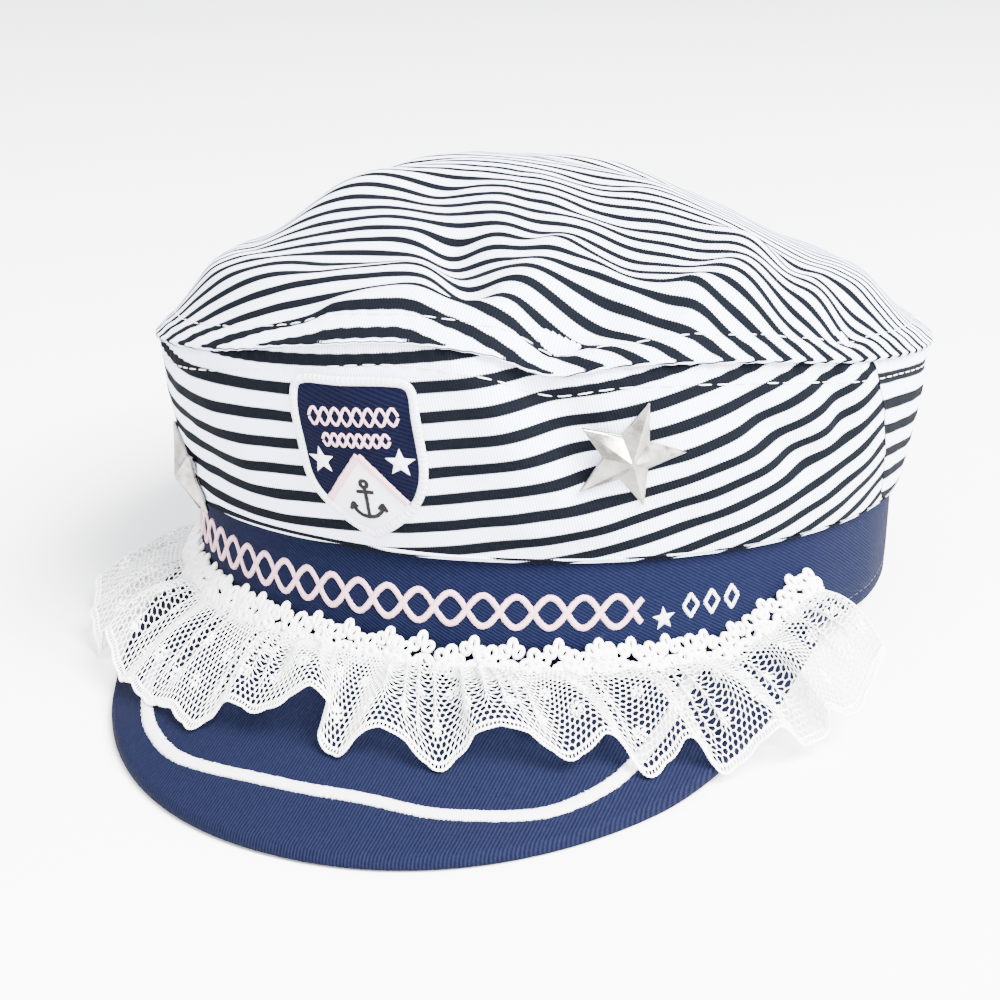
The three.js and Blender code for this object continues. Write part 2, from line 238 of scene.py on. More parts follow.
# Long folds of the top panel from above: from x, from y, to x, to y, width, height; a dent is negative.
TOP_FOLDS = (
    (-6, -105, 28, -97, 5.5, 4.2),
    (17, -93, 1, -66, 6, -4.4),
    (-20, -82, 0, -74, 8, -1.6),
    (-4, -56, -16, -38, 9, -2.6),
    (-40, -34, -50, -20, 12, 3.2),
    (35, -92, 42, -83, 5, -3.4),
    (29, -86, 24, -66, 7, 4.2),
    (42, -78, 36, -70, 6, 2.2),
    (22, -34, 12, -10, 10, -2.6),
    (46, -84, 32, -40, 7, -1.6),
    (61, -80, 57, -70, 5, 3.0),
    (63, -62, 55, -30, 8, 3.8),
    (84, -50, 77, -26, 5, -3.0),
    (70, -52, 64, -24, 5, -1.4),
)

# Folds of the side panels: from and to in degrees around and in share of the height, width in mm, height.
SIDE_FOLDS = (
    (22, 1.0, 30, 0.5, 6, -2.4),
    (12, 1.0, 19, 0.62, 6, 1.0),
    (-50, 1.0, -54, 0.35, 4, -1.2),
    (50, 0.72, 60, 0.45, 4.5, -1.3),
    (60, 0.95, 66, 0.62, 4, -1.4),
    (-30, 0.9, -20, 0.5, 9, 0.9),
    (40, 0.5, 24, 0.15, 8, 0.9),
)

band_low, band_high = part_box("headband")
SHIFT_X = (band_low[0] + band_high[0]) / 2 / MM
SHIFT_Y = band_high[1] / MM - BAND_HALF_Y - BAND_HEIGHT * math.sin(LEAN)

# Shape helpers

def ease(low, high, value):
    share = np.clip((value - low) / (high - low), 0, 1)
    return share * share * (3 - 2 * share)


def hermite(places, values, at):
    """A smooth curve through values at their places, read at new places."""
    slopes = np.gradient(values, places)
    below = np.clip(np.searchsorted(places, at, side="right") - 1, 0, len(places) - 2)
    run = places[below + 1] - places[below]
    t = (at - places[below]) / run
    start = (2 * t ** 3 - 3 * t ** 2 + 1) * values[below] + (t ** 3 - 2 * t ** 2 + t) * run * slopes[below]
    end = (3 * t ** 2 - 2 * t ** 3) * values[below + 1] + (t ** 3 - t ** 2) * run * slopes[below + 1]
    return start + end


def around(column, degrees):
    """One column of the table around the head, as a smooth closed curve."""
    table = np.array(AROUND, dtype=float)
    angles = table[:, 0]
    turns = np.concatenate([angles - 360, angles, angles + 360])
    wrapped = (np.asarray(degrees, dtype=float) - angles[0]) % 360 + angles[0]
    return hermite(turns, np.tile(table[:, COLUMNS.index(column)], 3), wrapped)


def unit(vectors):
    return vectors / np.maximum(np.linalg.norm(vectors, axis=-1, keepdims=True), 1e-9)


def run_along(path):
    """The length along a line at each of its points."""
    return np.concatenate([[0], np.cumsum(np.linalg.norm(np.diff(path, axis=0), axis=1))])


def evenly(path, count):
    """The same line with evenly spread points."""
    length = run_along(path)
    even = np.linspace(0, length[-1], count)
    return np.stack([np.interp(even, length, path[:, k]) for k in range(path.shape[1])], axis=-1)


def spline_terms(p0, p1, p2, p3, d0, d1, d2):
    """The terms of a smooth curve from p1 to p2, from four knots and the gaps between them."""
    m1 = ((p1 - p0) / d0 - (p2 - p0) / (d0 + d1) + (p2 - p1) / d1) * d1
    m2 = ((p2 - p1) / d1 - (p3 - p1) / (d1 + d2) + (p3 - p2) / d2) * d1
    return m1, -3 * p1 + 3 * p2 - 2 * m1 - m2, 2 * p1 - 2 * p2 + m1 + m2


def oval(degrees, offset):
    """A point of the head oval moved out by an offset; angle 0 is the front."""
    angle = np.radians(degrees)
    return (BAND_HALF_X + offset) * np.sin(angle), -(BAND_HALF_Y + offset) * np.cos(angle)


def lean(x, y, z):
    """From the cap's own level frame to the row frame, both in millimetres."""
    back = y - BAND_HALF_Y
    row_y = BAND_HALF_Y + back * math.cos(LEAN) + z * math.sin(LEAN) + SHIFT_Y
    row_z = -back * math.sin(LEAN) + z * math.cos(LEAN) - REST_SINK
    return np.stack([x + SHIFT_X + 0 * row_y, row_y, np.maximum(row_z, 0)], axis=-1)


def band_point(degrees, offset, height):
    x, y = oval(degrees, offset)
    return lean(x, y, height + 0 * x)


def ripple(x, y, wavelength, seed):
    """Soft irregular waves of about one wavelength, from a few turned sines; about -1 to 1."""
    draw = np.random.default_rng(seed)
    total = 0.0
    for _ in range(7):
        angle = draw.uniform(0, 2 * math.pi)
        stretch = draw.uniform(0.75, 1.35)
        phase = draw.uniform(0, 2 * math.pi)
        along = x * math.cos(angle) + y * math.sin(angle)
        total = total + np.sin(2 * math.pi * along * stretch / wavelength + phase)
    return total / 3.2


def fold_relief(rows, x, y):
    """Height of long soft folds, each a bell section that fades past its two ends."""
    height = 0.0
    for from_x, from_y, to_x, to_y, width, rise in rows:
        run_x = to_x - from_x
        run_y = to_y - from_y
        length = math.hypot(run_x, run_y)
        along = ((x - from_x) * run_x + (y - from_y) * run_y) / length
        across = ((x - from_x) * run_y - (y - from_y) * run_x) / length
        past = np.maximum(0, np.maximum(-along, along - length))
        height = height + rise * np.exp(-((across / width) ** 2) - (past / width) ** 2)
    return height


# The crown's side section, a smooth curve through points of (offset from the oval, height)

def section_points(degrees):
    flare = around("flare", degrees)
    seam = around("seam", degrees)
    droop = around("droop", degrees)
    belly = around("belly", degrees)
    inside = -BAND_WALL - GAP - 0.1 + 0 * flare
    low = BAND_HEIGHT - droop
    rise = seam - BAND_HEIGHT
    top = BAND_HEIGHT + 0 * flare
    places = (
        (inside, top - TUCK_DEPTH),
        (inside, top),
        (inside + 0.7, top + 0.6),
        (-0.2 + 0 * flare, top + 0.6),
        (0.6 + 0 * flare, top - 0.1),
        (0.7 + 0 * flare, low + 0.1),
        (0.55 * belly, low - 0.3),
        (belly, low + 1.2),
        (belly + 0.50 * (flare - belly), top + 0.34 * rise),
        (belly + 0.88 * (flare - belly), top + 0.68 * rise),
        (flare, seam),
    )
    return np.stack([np.stack(place, axis=-1) for place in places], axis=-2)


def section(degrees, shares):
    """Points and unit tangents of the side section; rows follow degrees, columns shares."""
    points = section_points(np.asarray(degrees, dtype=float))
    first = 2 * points[:, :1] - points[:, 1:2]
    last = 2 * points[:, -1:] - points[:, -2:-1]
    knots = np.concatenate([first, points, last], axis=1)
    spans = points.shape[1] - 1
    place = np.clip(np.asarray(shares) * spans, 0, spans - 1e-9)
    index = place.astype(int)
    t = (place - index)[None, :, None]
    four = [knots[:, index + k] for k in range(4)]
    gaps = [np.sqrt(np.linalg.norm(b - a, axis=-1, keepdims=True)) for a, b in zip(four, four[1:])]
    m1, c2, c3 = spline_terms(*four, *gaps)
    curve = four[1] + m1 * t + c2 * t ** 2 + c3 * t ** 3
    return curve, unit(m1 + 2 * c2 * t + 3 * c3 * t ** 2)


# Mesh helpers

def new_object(name, points, faces, material, uv=None):
    """An object from points in millimetres, its faces and, for each point, its place on the flat cloth."""
    points = np.asarray(points, dtype=np.float32).reshape(-1, 3) * MM
    faces = np.asarray(faces)
    mesh = bpy.data.meshes.new(name)
    mesh.from_pydata(points.tolist(), [], faces.tolist())
    if uv is not None:
        layer = mesh.uv_layers.new(name="cloth")
        uv = np.asarray(uv, dtype=np.float32).reshape(-1, 2) * MM
        layer.data.foreach_set("uv", uv[faces.ravel()].ravel())
    mesh.validate()
    mesh.polygons.foreach_set("use_smooth", np.ones(len(mesh.polygons), dtype=bool))
    mesh.materials.append(material)
    piece = bpy.data.objects.new(name, mesh)
    bpy.context.scene.collection.objects.link(piece)
    return piece


def grid_faces(rows, columns, wrap_rows=False, wrap_columns=False):
    """Quads of a grid of points stored row by row."""
    i = np.arange(rows if wrap_rows else rows - 1)
    j = np.arange(columns if wrap_columns else columns - 1)
    i, j = np.meshgrid(i, j, indexing="ij")
    a = i * columns + j
    b = ((i + 1) % rows) * columns + j
    c = ((i + 1) % rows) * columns + (j + 1) % columns
    d = i * columns + (j + 1) % columns
    return np.stack([a, b, c, d], axis=-1).reshape(-1, 4)


def end_faces(columns, row):
    """Closes the end of a wall whose section is a loop of outer points followed by inner ones."""
    j = np.arange(columns // 2 - 1)
    base = row * columns
    return np.stack([base + j, base + j + 1, base + columns - 2 - j, base + columns - 1 - j], axis=-1)


def fan(hub, first, count, flip=False):
    """Triangles from one point to a closed ring of points."""
    k = np.arange(count)
    faces = np.stack([np.full(count, hub), first + k, first + (k + 1) % count], axis=-1)
    return faces[:, ::-1] if flip else faces


def end_fans(levels, sides):
    """Triangles that close both ends of a stack of rings."""
    k = np.arange(1, sides - 1)
    first = np.stack([np.zeros_like(k), k, k + 1], axis=-1)
    return np.concatenate([first, (levels - 1) * sides + first[:, [0, 2, 1]]])


def as_triangles(faces):
    return np.concatenate([faces[:, [0, 1, 2]], faces[:, [0, 2, 3]]])


def outward(points, faces):
    """The faces turned so that they enclose a positive volume."""
    p = np.asarray(points).reshape(-1, 3)
    p = p - p.mean(axis=0)
    tri = as_triangles(faces) if faces.shape[1] == 4 else faces
    volume = np.einsum("ij,ij->i", p[tri[:, 0]], np.cross(p[tri[:, 1]], p[tri[:, 2]])).sum()
    return faces if volume > 0 else faces[:, ::-1]


def loop_wall(name, node, outer, inner, material, uv, closed_rows):
    """A closed cloth wall in place of a CAD node, from the grids of its outer and inner faces."""
    points = np.concatenate([outer, inner[:, ::-1]], axis=1)
    rows, columns = points.shape[:2]
    faces = [grid_faces(rows, columns, wrap_rows=closed_rows, wrap_columns=True)]
    if not closed_rows:
        faces += [end_faces(columns, 0)[:, ::-1], end_faces(columns, rows - 1)]
    faces = outward(points, np.concatenate(faces))
    piece = new_object(name, points, faces, material, np.concatenate([uv, uv[:, ::-1]], axis=1))
    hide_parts(node)
    return piece


class Batch:
    """Many small closed pieces joined into one mesh."""

    def __init__(self):
        self.points = []
        self.faces = []
        self.uvs = []
        self.count = 0

    def add(self, points, faces, uv=None):
        points = np.asarray(points, dtype=float).reshape(-1, 3)
        self.points.append(points)
        self.faces.append(np.asarray(faces) + self.count)
        self.uvs.append(np.zeros((len(points), 2)) if uv is None else np.asarray(uv).reshape(-1, 2))
        self.count += len(points)

    def build(self, name, material):
        points, faces, uvs = (np.concatenate(rows) for rows in (self.points, self.faces, self.uvs))
        return new_object(name, points, faces, material, uvs)


def tree_of(*pieces):
    """A search tree of one or more pieces in millimetres."""
    points, faces = [], []
    for piece in pieces:
        start = len(points)
        points += [v.co / MM for v in piece.data.vertices]
        faces += [tuple(i + start for i in p.vertices) for p in piece.data.polygons]
    return BVHTree.FromPolygons(points, faces)


# Materials

class Nodes:
    """A material's node tree with short ways to add maths and textures."""

    def __init__(self, name):
        self.material = bpy.data.materials.new(name)
        self.material.use_nodes = True
        self.tree = self.material.node_tree
        self.shader = self.tree.nodes["Principled BSDF"]

    def add(self, kind, inputs=None, **settings):
        node = self.tree.nodes.new(kind)
        for key, value in settings.items():
            setattr(node, key, value)
        for key, value in (inputs or {}).items():
            self.feed(node.inputs[key], value)
        return node

    def feed(self, socket, value):
        if isinstance(value, bpy.types.NodeSocket):
            self.tree.links.new(value, socket)
        else:
            socket.default_value = value

    def math(self, operation, a, b=0.0, c=0.0):
        return self.add("ShaderNodeMath", {0: a, 1: b, 2: c}, operation=operation).outputs[0]

    def ramp(self, value, low, high, start=0.0, end=1.0):
        inputs = {"Value": value, "From Min": low, "From Max": high, "To Min": start, "To Max": end}
        return self.add("ShaderNodeMapRange", inputs, interpolation_type="SMOOTHSTEP").outputs[0]

    def mix(self, factor, a, b):
        node = self.add("ShaderNodeMix", data_type="RGBA")
        self.feed(node.inputs["Factor"], factor)
        self.feed(node.inputs[6], a)
        self.feed(node.inputs[7], b)
        return node.outputs[2]

    def noise(self, scale, detail=2.0, roughness=0.5):
        place = self.add("ShaderNodeTexCoord").outputs["Object"]
        inputs = {"Vector": place, "Scale": scale, "Detail": detail, "Roughness": roughness}
        return self.add("ShaderNodeTexNoise", inputs).outputs[0]

    def cloth_uv(self):
        place = self.add("ShaderNodeUVMap", uv_map="cloth").outputs[0]
        parts = self.add("ShaderNodeSeparateXYZ", {0: place})
        return parts.outputs[0], parts.outputs[1]

    def waves(self, u, v, pitch, degrees):
        """Even lines across the cloth, 0 to 1, at an angle from the u direction."""
        angle = math.radians(degrees)
        turn = 2 * math.pi / (pitch * MM)
        along = self.math("MULTIPLY", u, turn * math.sin(angle))
        across = self.math("MULTIPLY_ADD", v, turn * math.cos(angle), along)
        return self.math("MULTIPLY_ADD", self.math("SINE", across), 0.5, 0.5)

    def bump(self, height, distance, strength=1.0):
        inputs = {"Height": height, "Distance": distance * MM, "Strength": strength}
        self.feed(self.shader.inputs["Normal"], self.add("ShaderNodeBump", inputs).outputs[0])

    def set(self, **values):
        for key, value in values.items():
            self.feed(self.shader.inputs[key.replace("_", " ")], value)


def darker(colour, share):
    return tuple(c * share for c in colour[:3]) + (1,)


def striped_cloth():
    """White twill with woven dark stripes along u; the white is painted darker and bluer in the wale
    grooves as painted shade.
    """
    n = Nodes("striped_cloth")
    u, v = n.cloth_uv()
    wales = n.waves(u, v, WALE_PITCH, 84)
    teeth = n.math("MULTIPLY_ADD", wales, 0.16 / STRIPE_PITCH, -0.08 / STRIPE_PITCH)
    place = n.math("MULTIPLY_ADD", v, 1 / (STRIPE_PITCH * MM), teeth)
    swing = n.math("PINGPONG", place, 0.5)
    edge = STRIPE_DARK_SHARE / 2
    dark = n.ramp(swing, edge - 0.022, edge + 0.022, 1.0, 0.0)
    worn = n.noise(900.0, 3.0)
    # Painted shade: the white goes darker and bluer in the grooves between the wales, where the bump is
    # low.
    white = n.mix(n.ramp(wales, 0.0, 0.55), (0.47, 0.515, 0.66, 1), (0.77, 0.805, 0.93, 1))
    navy = n.mix(n.ramp(worn, 0.35, 0.75), (0.0009, 0.0013, 0.0022, 1), (0.0021, 0.0028, 0.0042, 1))
    navy = n.mix(n.ramp(wales, 0.0, 0.5, 0.0, 0.45), (0.0032, 0.0040, 0.0058, 1), navy)
    n.set(Base_Color=n.mix(dark, white, navy), Roughness=0.9, Specular_IOR_Level=0.02)
    height = n.math("MULTIPLY_ADD", worn, 0.5, wales)
    n.bump(height, 0.07, 0.8)
    return n.material


def navy_twill(name, degrees, low, high, pitch=WALE_PITCH):
    """Navy twill with fine wales at an angle, paler on the crests of the yarns as a painted highlight and
    darker in the grooves as painted shade.
    """
    n = Nodes(name)
    u, v = n.cloth_uv()
    wales = n.waves(u, v, pitch, degrees)
    yarn = n.waves(u, v, pitch * 0.55, degrees + 68)
    worn = n.noise(1400.0, 3.0)
    # Painted highlight and shade: the wale crests are painted paler and the grooves darker, mixed with
    # random tone from the noise.
    tone = n.math("MULTIPLY_ADD", wales, 0.55, n.math("MULTIPLY", worn, 0.6))
    n.set(Base_Color=n.mix(n.ramp(tone, 0.2, 0.95), low, high), Roughness=0.85, Specular_IOR_Level=0.03)
    height = n.math("MULTIPLY_ADD", yarn, 0.35, wales)
    n.bump(height, 0.09, 0.9)
    return n.material


def thread(name, colour, pitch=0.32, degrees=90, rough=0.5, shade=0.72):
    """Embroidery or sewing thread: fine parallel yarns across the stitched shape, with painted shade
    darkening the grooves between the yarns.
    """
    n = Nodes(name)
    u, v = n.cloth_uv()
    yarns = n.waves(u, v, pitch, degrees)
    # Painted shade: the grooves between the yarns, where the bump is low, take the colour darkened by the
    # shade share.
    tone = n.mix(n.ramp(yarns, 0.0, 0.6), darker(colour, shade), colour)
    n.set(Base_Color=tone, Roughness=rough, Specular_IOR_Level=0.2)
    n.bump(yarns, 0.10, 0.9)
    return n.material


def plain_cotton(name, colour, rough=0.75):
    """Cotton yarn seen close: a fine soft grain without a direction."""
    n = Nodes(name)
    grain = n.noise(2600.0, 2.0)
    tone = n.mix(n.ramp(grain, 0.3, 0.7), darker(colour, 0.86), colour)
    n.set(Base_Color=tone, Roughness=rough, Specular_IOR_Level=0.2)
    n.bump(grain, 0.05, 0.6)
    return n.material


def stud_metal():
    """Thin pressed plated metal: bright, with softly varying tone and roughness, and small dull specks."""
    n = Nodes("stud_metal")
    broad = n.noise(220.0, 2.0)
    fine = n.noise(1500.0, 4.0, 0.7)
    specks = n.ramp(fine, 0.60, 0.70)
    bright = n.mix(n.ramp(broad, 0.35, 0.7), (0.20, 0.19, 0.165, 1), (0.36, 0.35, 0.32, 1))
    n.set(Base_Color=n.mix(specks, bright, (0.075, 0.06, 0.04, 1)))
    n.set(Roughness=n.math("MULTIPLY_ADD", specks, 0.25, n.ramp(broad, 0.3, 0.7, 0.2, 0.36)))
    n.set(Metallic=1.0)
    n.bump(n.math("MULTIPLY_ADD", broad, 0.6, fine), 0.06, 0.5)
    return n.material


def pale_floor():
    n = Nodes("pale_floor")
    tone = n.noise(3.0, 2.0)
    n.set(Base_Color=n.mix(tone, (0.93, 0.93, 0.925, 1), (0.96, 0.96, 0.955, 1)), Roughness=0.9)
    return n.material


STRIPED = striped_cloth()
BAND_TWILL = navy_twill("band_twill", 28, (0.0016, 0.0023, 0.0086, 1), (0.0046, 0.0063, 0.0215, 1))
VISOR_TWILL = navy_twill("visor_twill", 88, (0.0019, 0.0025, 0.0082, 1), (0.0056, 0.0072, 0.0215, 1))
FIELD_TWILL = navy_twill("badge_twill", 20, (0.0010, 0.0012, 0.0055, 1), (0.0028, 0.0034, 0.0125, 1), 0.9)
WHITE_SATIN = thread("white_satin", (0.80, 0.80, 0.86, 1), shade=0.6)
PINK_SATIN = thread("pink_satin", (0.66, 0.41, 0.47, 1))
WHITE_THREAD = thread("white_thread", (0.90, 0.91, 0.95, 1), 0.25, 60)
NAVY_THREAD = thread("navy_thread", (0.006, 0.008, 0.028, 1), 0.25, 60)
BLACK_THREAD = thread("black_thread", (0.0012, 0.0012, 0.0016, 1), 0.3, 90, 0.8)
LACE_COTTON = plain_cotton("lace_cotton", (0.93, 0.93, 0.92, 1))
STUD_METAL = stud_metal()


# The crown's top panel

def rim_of_top():
    """The top panel's edge seen from its apex: direction, reach and the head angle, sorted by direction."""
    degrees = np.linspace(-180, 180, 2881)
    x, y = oval(degrees, around("flare", degrees) + 0.5)
    direction = np.unwrap(np.arctan2(x - APEX_X, -(y - APEX_Y)))
    return direction, np.hypot(x - APEX_X, y - APEX_Y), degrees


RIM_DIRECTION, RIM_REACH, RIM_DEGREES = rim_of_top()


def section_of_top(share):
    """The top panel's rise over its edge, as a share, through the points of its section table."""
    places, values = np.array(TOP_SECTION).T
    return hermite(places, values, np.minimum(share, 1.0))


def top_height(x, y):
    """Height of the top panel's outer face over a plan point, in the cap's own frame."""
    direction = np.arctan2(x - APEX_X, -(y - APEX_Y))
    period = RIM_DIRECTION[-1] - RIM_DIRECTION[0]
    direction = (direction - RIM_DIRECTION[0]) % period + RIM_DIRECTION[0]
    degrees = np.interp(direction, RIM_DIRECTION, RIM_DEGREES)
    share = np.hypot(x - APEX_X, y - APEX_Y) / np.interp(direction, RIM_DIRECTION, RIM_REACH)
    rim_z = around("seam", degrees) + TOP_EDGE_RISE
    round_z = rim_z + (APEX_Z - rim_z) * section_of_top(share ** around("full", degrees))
    inner = 1 - ease(0.93, 1.0, share)
    soft = 0.30 * ripple(x, y, 34, 3) + 0.08 * ripple(x, y, 13, 5)
    return round_z + (fold_relief(TOP_FOLDS, x, y) + soft) * inner


def cloth_of_top(x, y, z):
    """Places on the flat cloth for rows of points from the middle outwards: length along each spoke."""
    reach = np.hypot(x - APEX_X, y - APEX_Y)
    step = np.hypot(np.diff(reach, axis=0), np.diff(z, axis=0))
    length = np.concatenate([reach[:1], reach[:1] + np.cumsum(step, axis=0)])
    u = length * (x - APEX_X) / reach
    v = length * (y - APEX_Y) / reach + TOP_STRIPE_PHASE
    return np.stack([u, v], axis=-1)


def crown_top():
    """The striped dome: outer face, a rolled edge and the inner face, closed at the apex."""
    degrees = np.linspace(-180, 180, TOP_SPOKES, endpoint=False)
    rim_x, rim_y = oval(degrees, around("flare", degrees) + 0.5)
    out_shares = np.concatenate([np.linspace(0.01, 0.8, 84), np.linspace(0.808, 1, 36)])
    outer = [(share, 0.0) for share in out_shares]
    edge = [(1.004, 0.35), (1.004, 0.9), (0.996, TOP_WALL)]
    inner = [(share, TOP_WALL) for share in np.linspace(0.97, 0.01, 16)]
    rows = np.array(outer + edge + inner)
    x = APEX_X + rows[:, :1] * (rim_x - APEX_X)
    y = APEX_Y + rows[:, :1] * (rim_y - APEX_Y)
    pucker = 0.12 * np.sin(2 * math.pi * degrees * 1.72 / STITCH_PITCH) * ease(0.93, 0.985, rows[:, :1])
    roll = TOP_EDGE_DROP * ease(0.97, 1.0, rows[:, :1])
    smooth_z = top_height(x, y)
    z = smooth_z - rows[:, 1:] + pucker - roll
    points = lean(x, y, z).reshape(-1, 3)
    cloth = cloth_of_top(x[:len(outer)], y[:len(outer)], smooth_z[:len(outer)])
    back = np.linspace(len(outer) - 1, 0, len(rows) - len(outer)).round().astype(int)
    uv = np.concatenate([cloth, cloth[back]]).reshape(-1, 2)
    faces = as_triangles(grid_faces(len(rows), TOP_SPOKES, wrap_columns=True))
    apex_x, apex_y = np.array([APEX_X]), np.array([APEX_Y])
    apex_z = top_height(apex_x, apex_y)
    poles = np.concatenate([lean(apex_x, apex_y, apex_z - depth) for depth in (0.0, TOP_WALL)])
    count = len(points)
    fan_out = fan(count, 0, TOP_SPOKES, True)
    fan_in = fan(count + 1, count - TOP_SPOKES, TOP_SPOKES)
    faces = np.concatenate([faces[:, ::-1], fan_out, fan_in])
    points = np.concatenate([points, poles])
    pole_uv = np.array([[0.0, TOP_STRIPE_PHASE]] * 2)
    piece = new_object("top_panel", points, outward(points, faces), STRIPED, np.concatenate([uv, pole_uv]))
    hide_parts("crown_top")
    return piece


# The crown's side panels

def side_surface(degrees, shares, depth=0.0):
    """Points and cloth coordinates of the side panels; rows follow degrees, columns shares."""
    degrees = np.asarray(degrees, dtype=float)
    high = np.clip((shares - 0.62) / 0.38, 0, 1)
    near_seam = ease(30, SIDE_SEAM_ANGLE, degrees) * (1 - ease(SIDE_SEAM_ANGLE, 130, degrees))
    grid = degrees[:, None] + SEAM_SLANT * (1 - 2 * high)[None, :] * near_seam[:, None]
    slices = [section(grid[:, k], shares[k:k + 1]) for k in range(len(shares))]
    curve = np.concatenate([one[0] for one in slices], axis=1)
    tangent = np.concatenate([one[1] for one in slices], axis=1)
    step = np.linalg.norm(np.diff(curve, axis=1), axis=-1)
    up = np.concatenate([np.zeros((len(degrees), 1)), np.cumsum(step, axis=1)], axis=1)
    fold_row = np.searchsorted(shares, 0.6)
    up = up - up[:, fold_row:fold_row + 1]
    tall = np.maximum(up[:, -1:], 1.0)
    share_up = up / tall
    around_mm = np.radians(grid) * CROWN_RADIUS
    free = ease(0.02, 0.2, share_up) * (1 - 0.6 * ease(0.86, 1.0, share_up))
    round_and_up = np.array([math.radians(1) * CROWN_RADIUS, PANEL_HEIGHT] * 2 + [1, 1])
    relief = fold_relief(np.array(SIDE_FOLDS) * round_and_up, around_mm, share_up * PANEL_HEIGHT)
    relief = relief + 0.35 * ripple(around_mm, up, 30, 11) + 0.14 * ripple(around_mm, up, 11, 12)
    pucker = 0.22 * np.sin(2 * math.pi * around_mm / STITCH_PITCH) * ease(0.86, 0.95, share_up)
    tuck = -0.9 * ease(0.965, 1.0, share_up)
    out = relief * free + pucker + tuck - depth
    offset = curve[..., 0] + tangent[..., 1] * out
    height = curve[..., 1] - tangent[..., 0] * out
    x, y = oval(grid, offset)
    return lean(x, y, height), around_mm, up


def side_panel(name, node, span, columns, level_angle, radius, stripe_start):
    """One striped side panel, tucked inside the band, with level stripes at one angle around."""
    degrees = np.linspace(*span, columns)
    shares = np.concatenate([np.linspace(0, 0.58, 16), np.linspace(0.6, 1.0, 56)])
    outer, around_mm, up = side_surface(degrees, shares)
    inner, _, _ = side_surface(degrees, shares, CLOTH_WALL)
    middle = math.radians(level_angle) * CROWN_RADIUS
    turn = (around_mm - middle) / radius
    stripe = (radius + up) * np.cos(turn) - radius + stripe_start
    along = (radius + up) * np.sin(turn)
    return loop_wall(name, node, outer, inner, STRIPED, np.stack([along, stripe], axis=-1), False)


# The band

def headband():
    """The twill band: a padded ring with soft edges, pressed flat on the table at the back."""
    degrees = np.linspace(-180, 180, 720, endpoint=False)
    heights = BAND_HEIGHT * (0.5 - 0.5 * np.cos(np.linspace(0, math.pi, 26)))
    puff = 0.35 * np.sin(np.linspace(0, math.pi, 26)) ** 0.5 - 0.35
    groove = -0.22 * np.exp(-((heights - BAND_STITCH_HEIGHT) / 0.7) ** 2)
    grid_angle, grid_height = np.meshgrid(degrees, heights, indexing="ij")
    around_mm = np.radians(grid_angle) * BAND_RADIUS
    wave = 0.12 * ripple(around_mm, grid_height, 26, 21)
    outer = band_point(grid_angle, puff + groove + wave, grid_height)
    inner = band_point(grid_angle, -BAND_WALL - puff * 0.5, grid_height)
    uv = np.stack([around_mm, grid_height], axis=-1)
    return loop_wall("band", "headband", outer, inner, BAND_TWILL, uv, True)


# The visor

def visor_edge(turn):
    swing = np.sign(np.sin(turn)) * np.abs(np.sin(turn)) ** (2 / VISOR_POWER)
    x = VISOR_MIDDLE_X * np.cos(turn) + VISOR_HALF_WIDTH * swing
    y = VISOR_END_Y - VISOR_REACH * np.abs(np.cos(turn)) ** (2 / VISOR_POWER)
    z = VISOR_WALL + VISOR_END_Z * ease(0.9, math.pi / 2, np.abs(turn))
    return np.stack([x + SHIFT_X, y + SHIFT_Y, z], axis=-1)


def visor_surface(turn, share):
    """The visor's upper face: share 0 is under the band and 1 its edge; turn and share broadcast."""
    turn, share = np.broadcast_arrays(np.asarray(turn, dtype=float), np.asarray(share, dtype=float))
    degrees = VISOR_END_ANGLE * turn / (math.pi / 2) + 2 * np.cos(turn)
    inner = band_point(degrees, -0.8 * BAND_WALL, 0.0)
    inner[..., 2] -= SEAM_GAP
    point = inner + (visor_edge(turn) - inner) * share[..., None]
    point[..., 2] += VISOR_ARCH * np.sin(math.pi * share) ** 2 * np.cos(turn)
    return point


def visor():
    """The stiff curved visor with a soft rolled edge."""
    turns = np.linspace(-math.pi / 2, math.pi / 2, 241)[:, None]
    spread = np.linspace(0, 1, 70) ** 0.85
    length = np.linalg.norm(visor_surface(turns, 1.0) - visor_surface(turns, 0.0), axis=-1)
    outer = visor_surface(turns, spread[None, :])
    inner = outer.copy()
    away = np.maximum(0, 1 - (1 - spread[None, :]) * length / VISOR_EDGE_ROUND)
    sink = VISOR_EDGE_ROUND * (1 - np.sqrt(np.clip(1 - away ** 2, 0, 1)))
    wall = VISOR_WALL * (0.3 + 0.7 * ease(0.0, 0.3, math.pi / 2 - np.abs(turns)))
    outer[..., 2] -= 0.9 * sink
    inner[..., 2] -= wall - 0.6 * sink
    inner[..., 2] = np.maximum(inner[..., 2], 0.0)
    relief = 0.10 * ripple(outer[..., 0], outer[..., 1], 24, 31)
    outer[..., 2] += relief * (1 - away)
    return loop_wall("visor_board", "visor", outer, inner, VISOR_TWILL, outer[..., :2], False)


top_piece = crown_top()
front_span = (-SIDE_SEAM_ANGLE + 0.1, SIDE_SEAM_ANGLE - 0.1)
front_piece = side_panel("side_front", "crown_side_front", front_span, 330, -20.0, 372.0, -41.6)
back_span = (SIDE_SEAM_ANGLE + 0.1, 360 - SIDE_SEAM_ANGLE - 0.1)
back_piece = side_panel("side_back", "crown_side_back", back_span, 260, 125.0, 900.0, 0.0)
band_piece = headband()
visor_piece = visor()
SOFT_PIECES = [top_piece, front_piece, back_piece, band_piece, visor_piece]
for soft in SOFT_PIECES:
    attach(soft, "root")


# Threads, cords, ribbons and raised embroidery

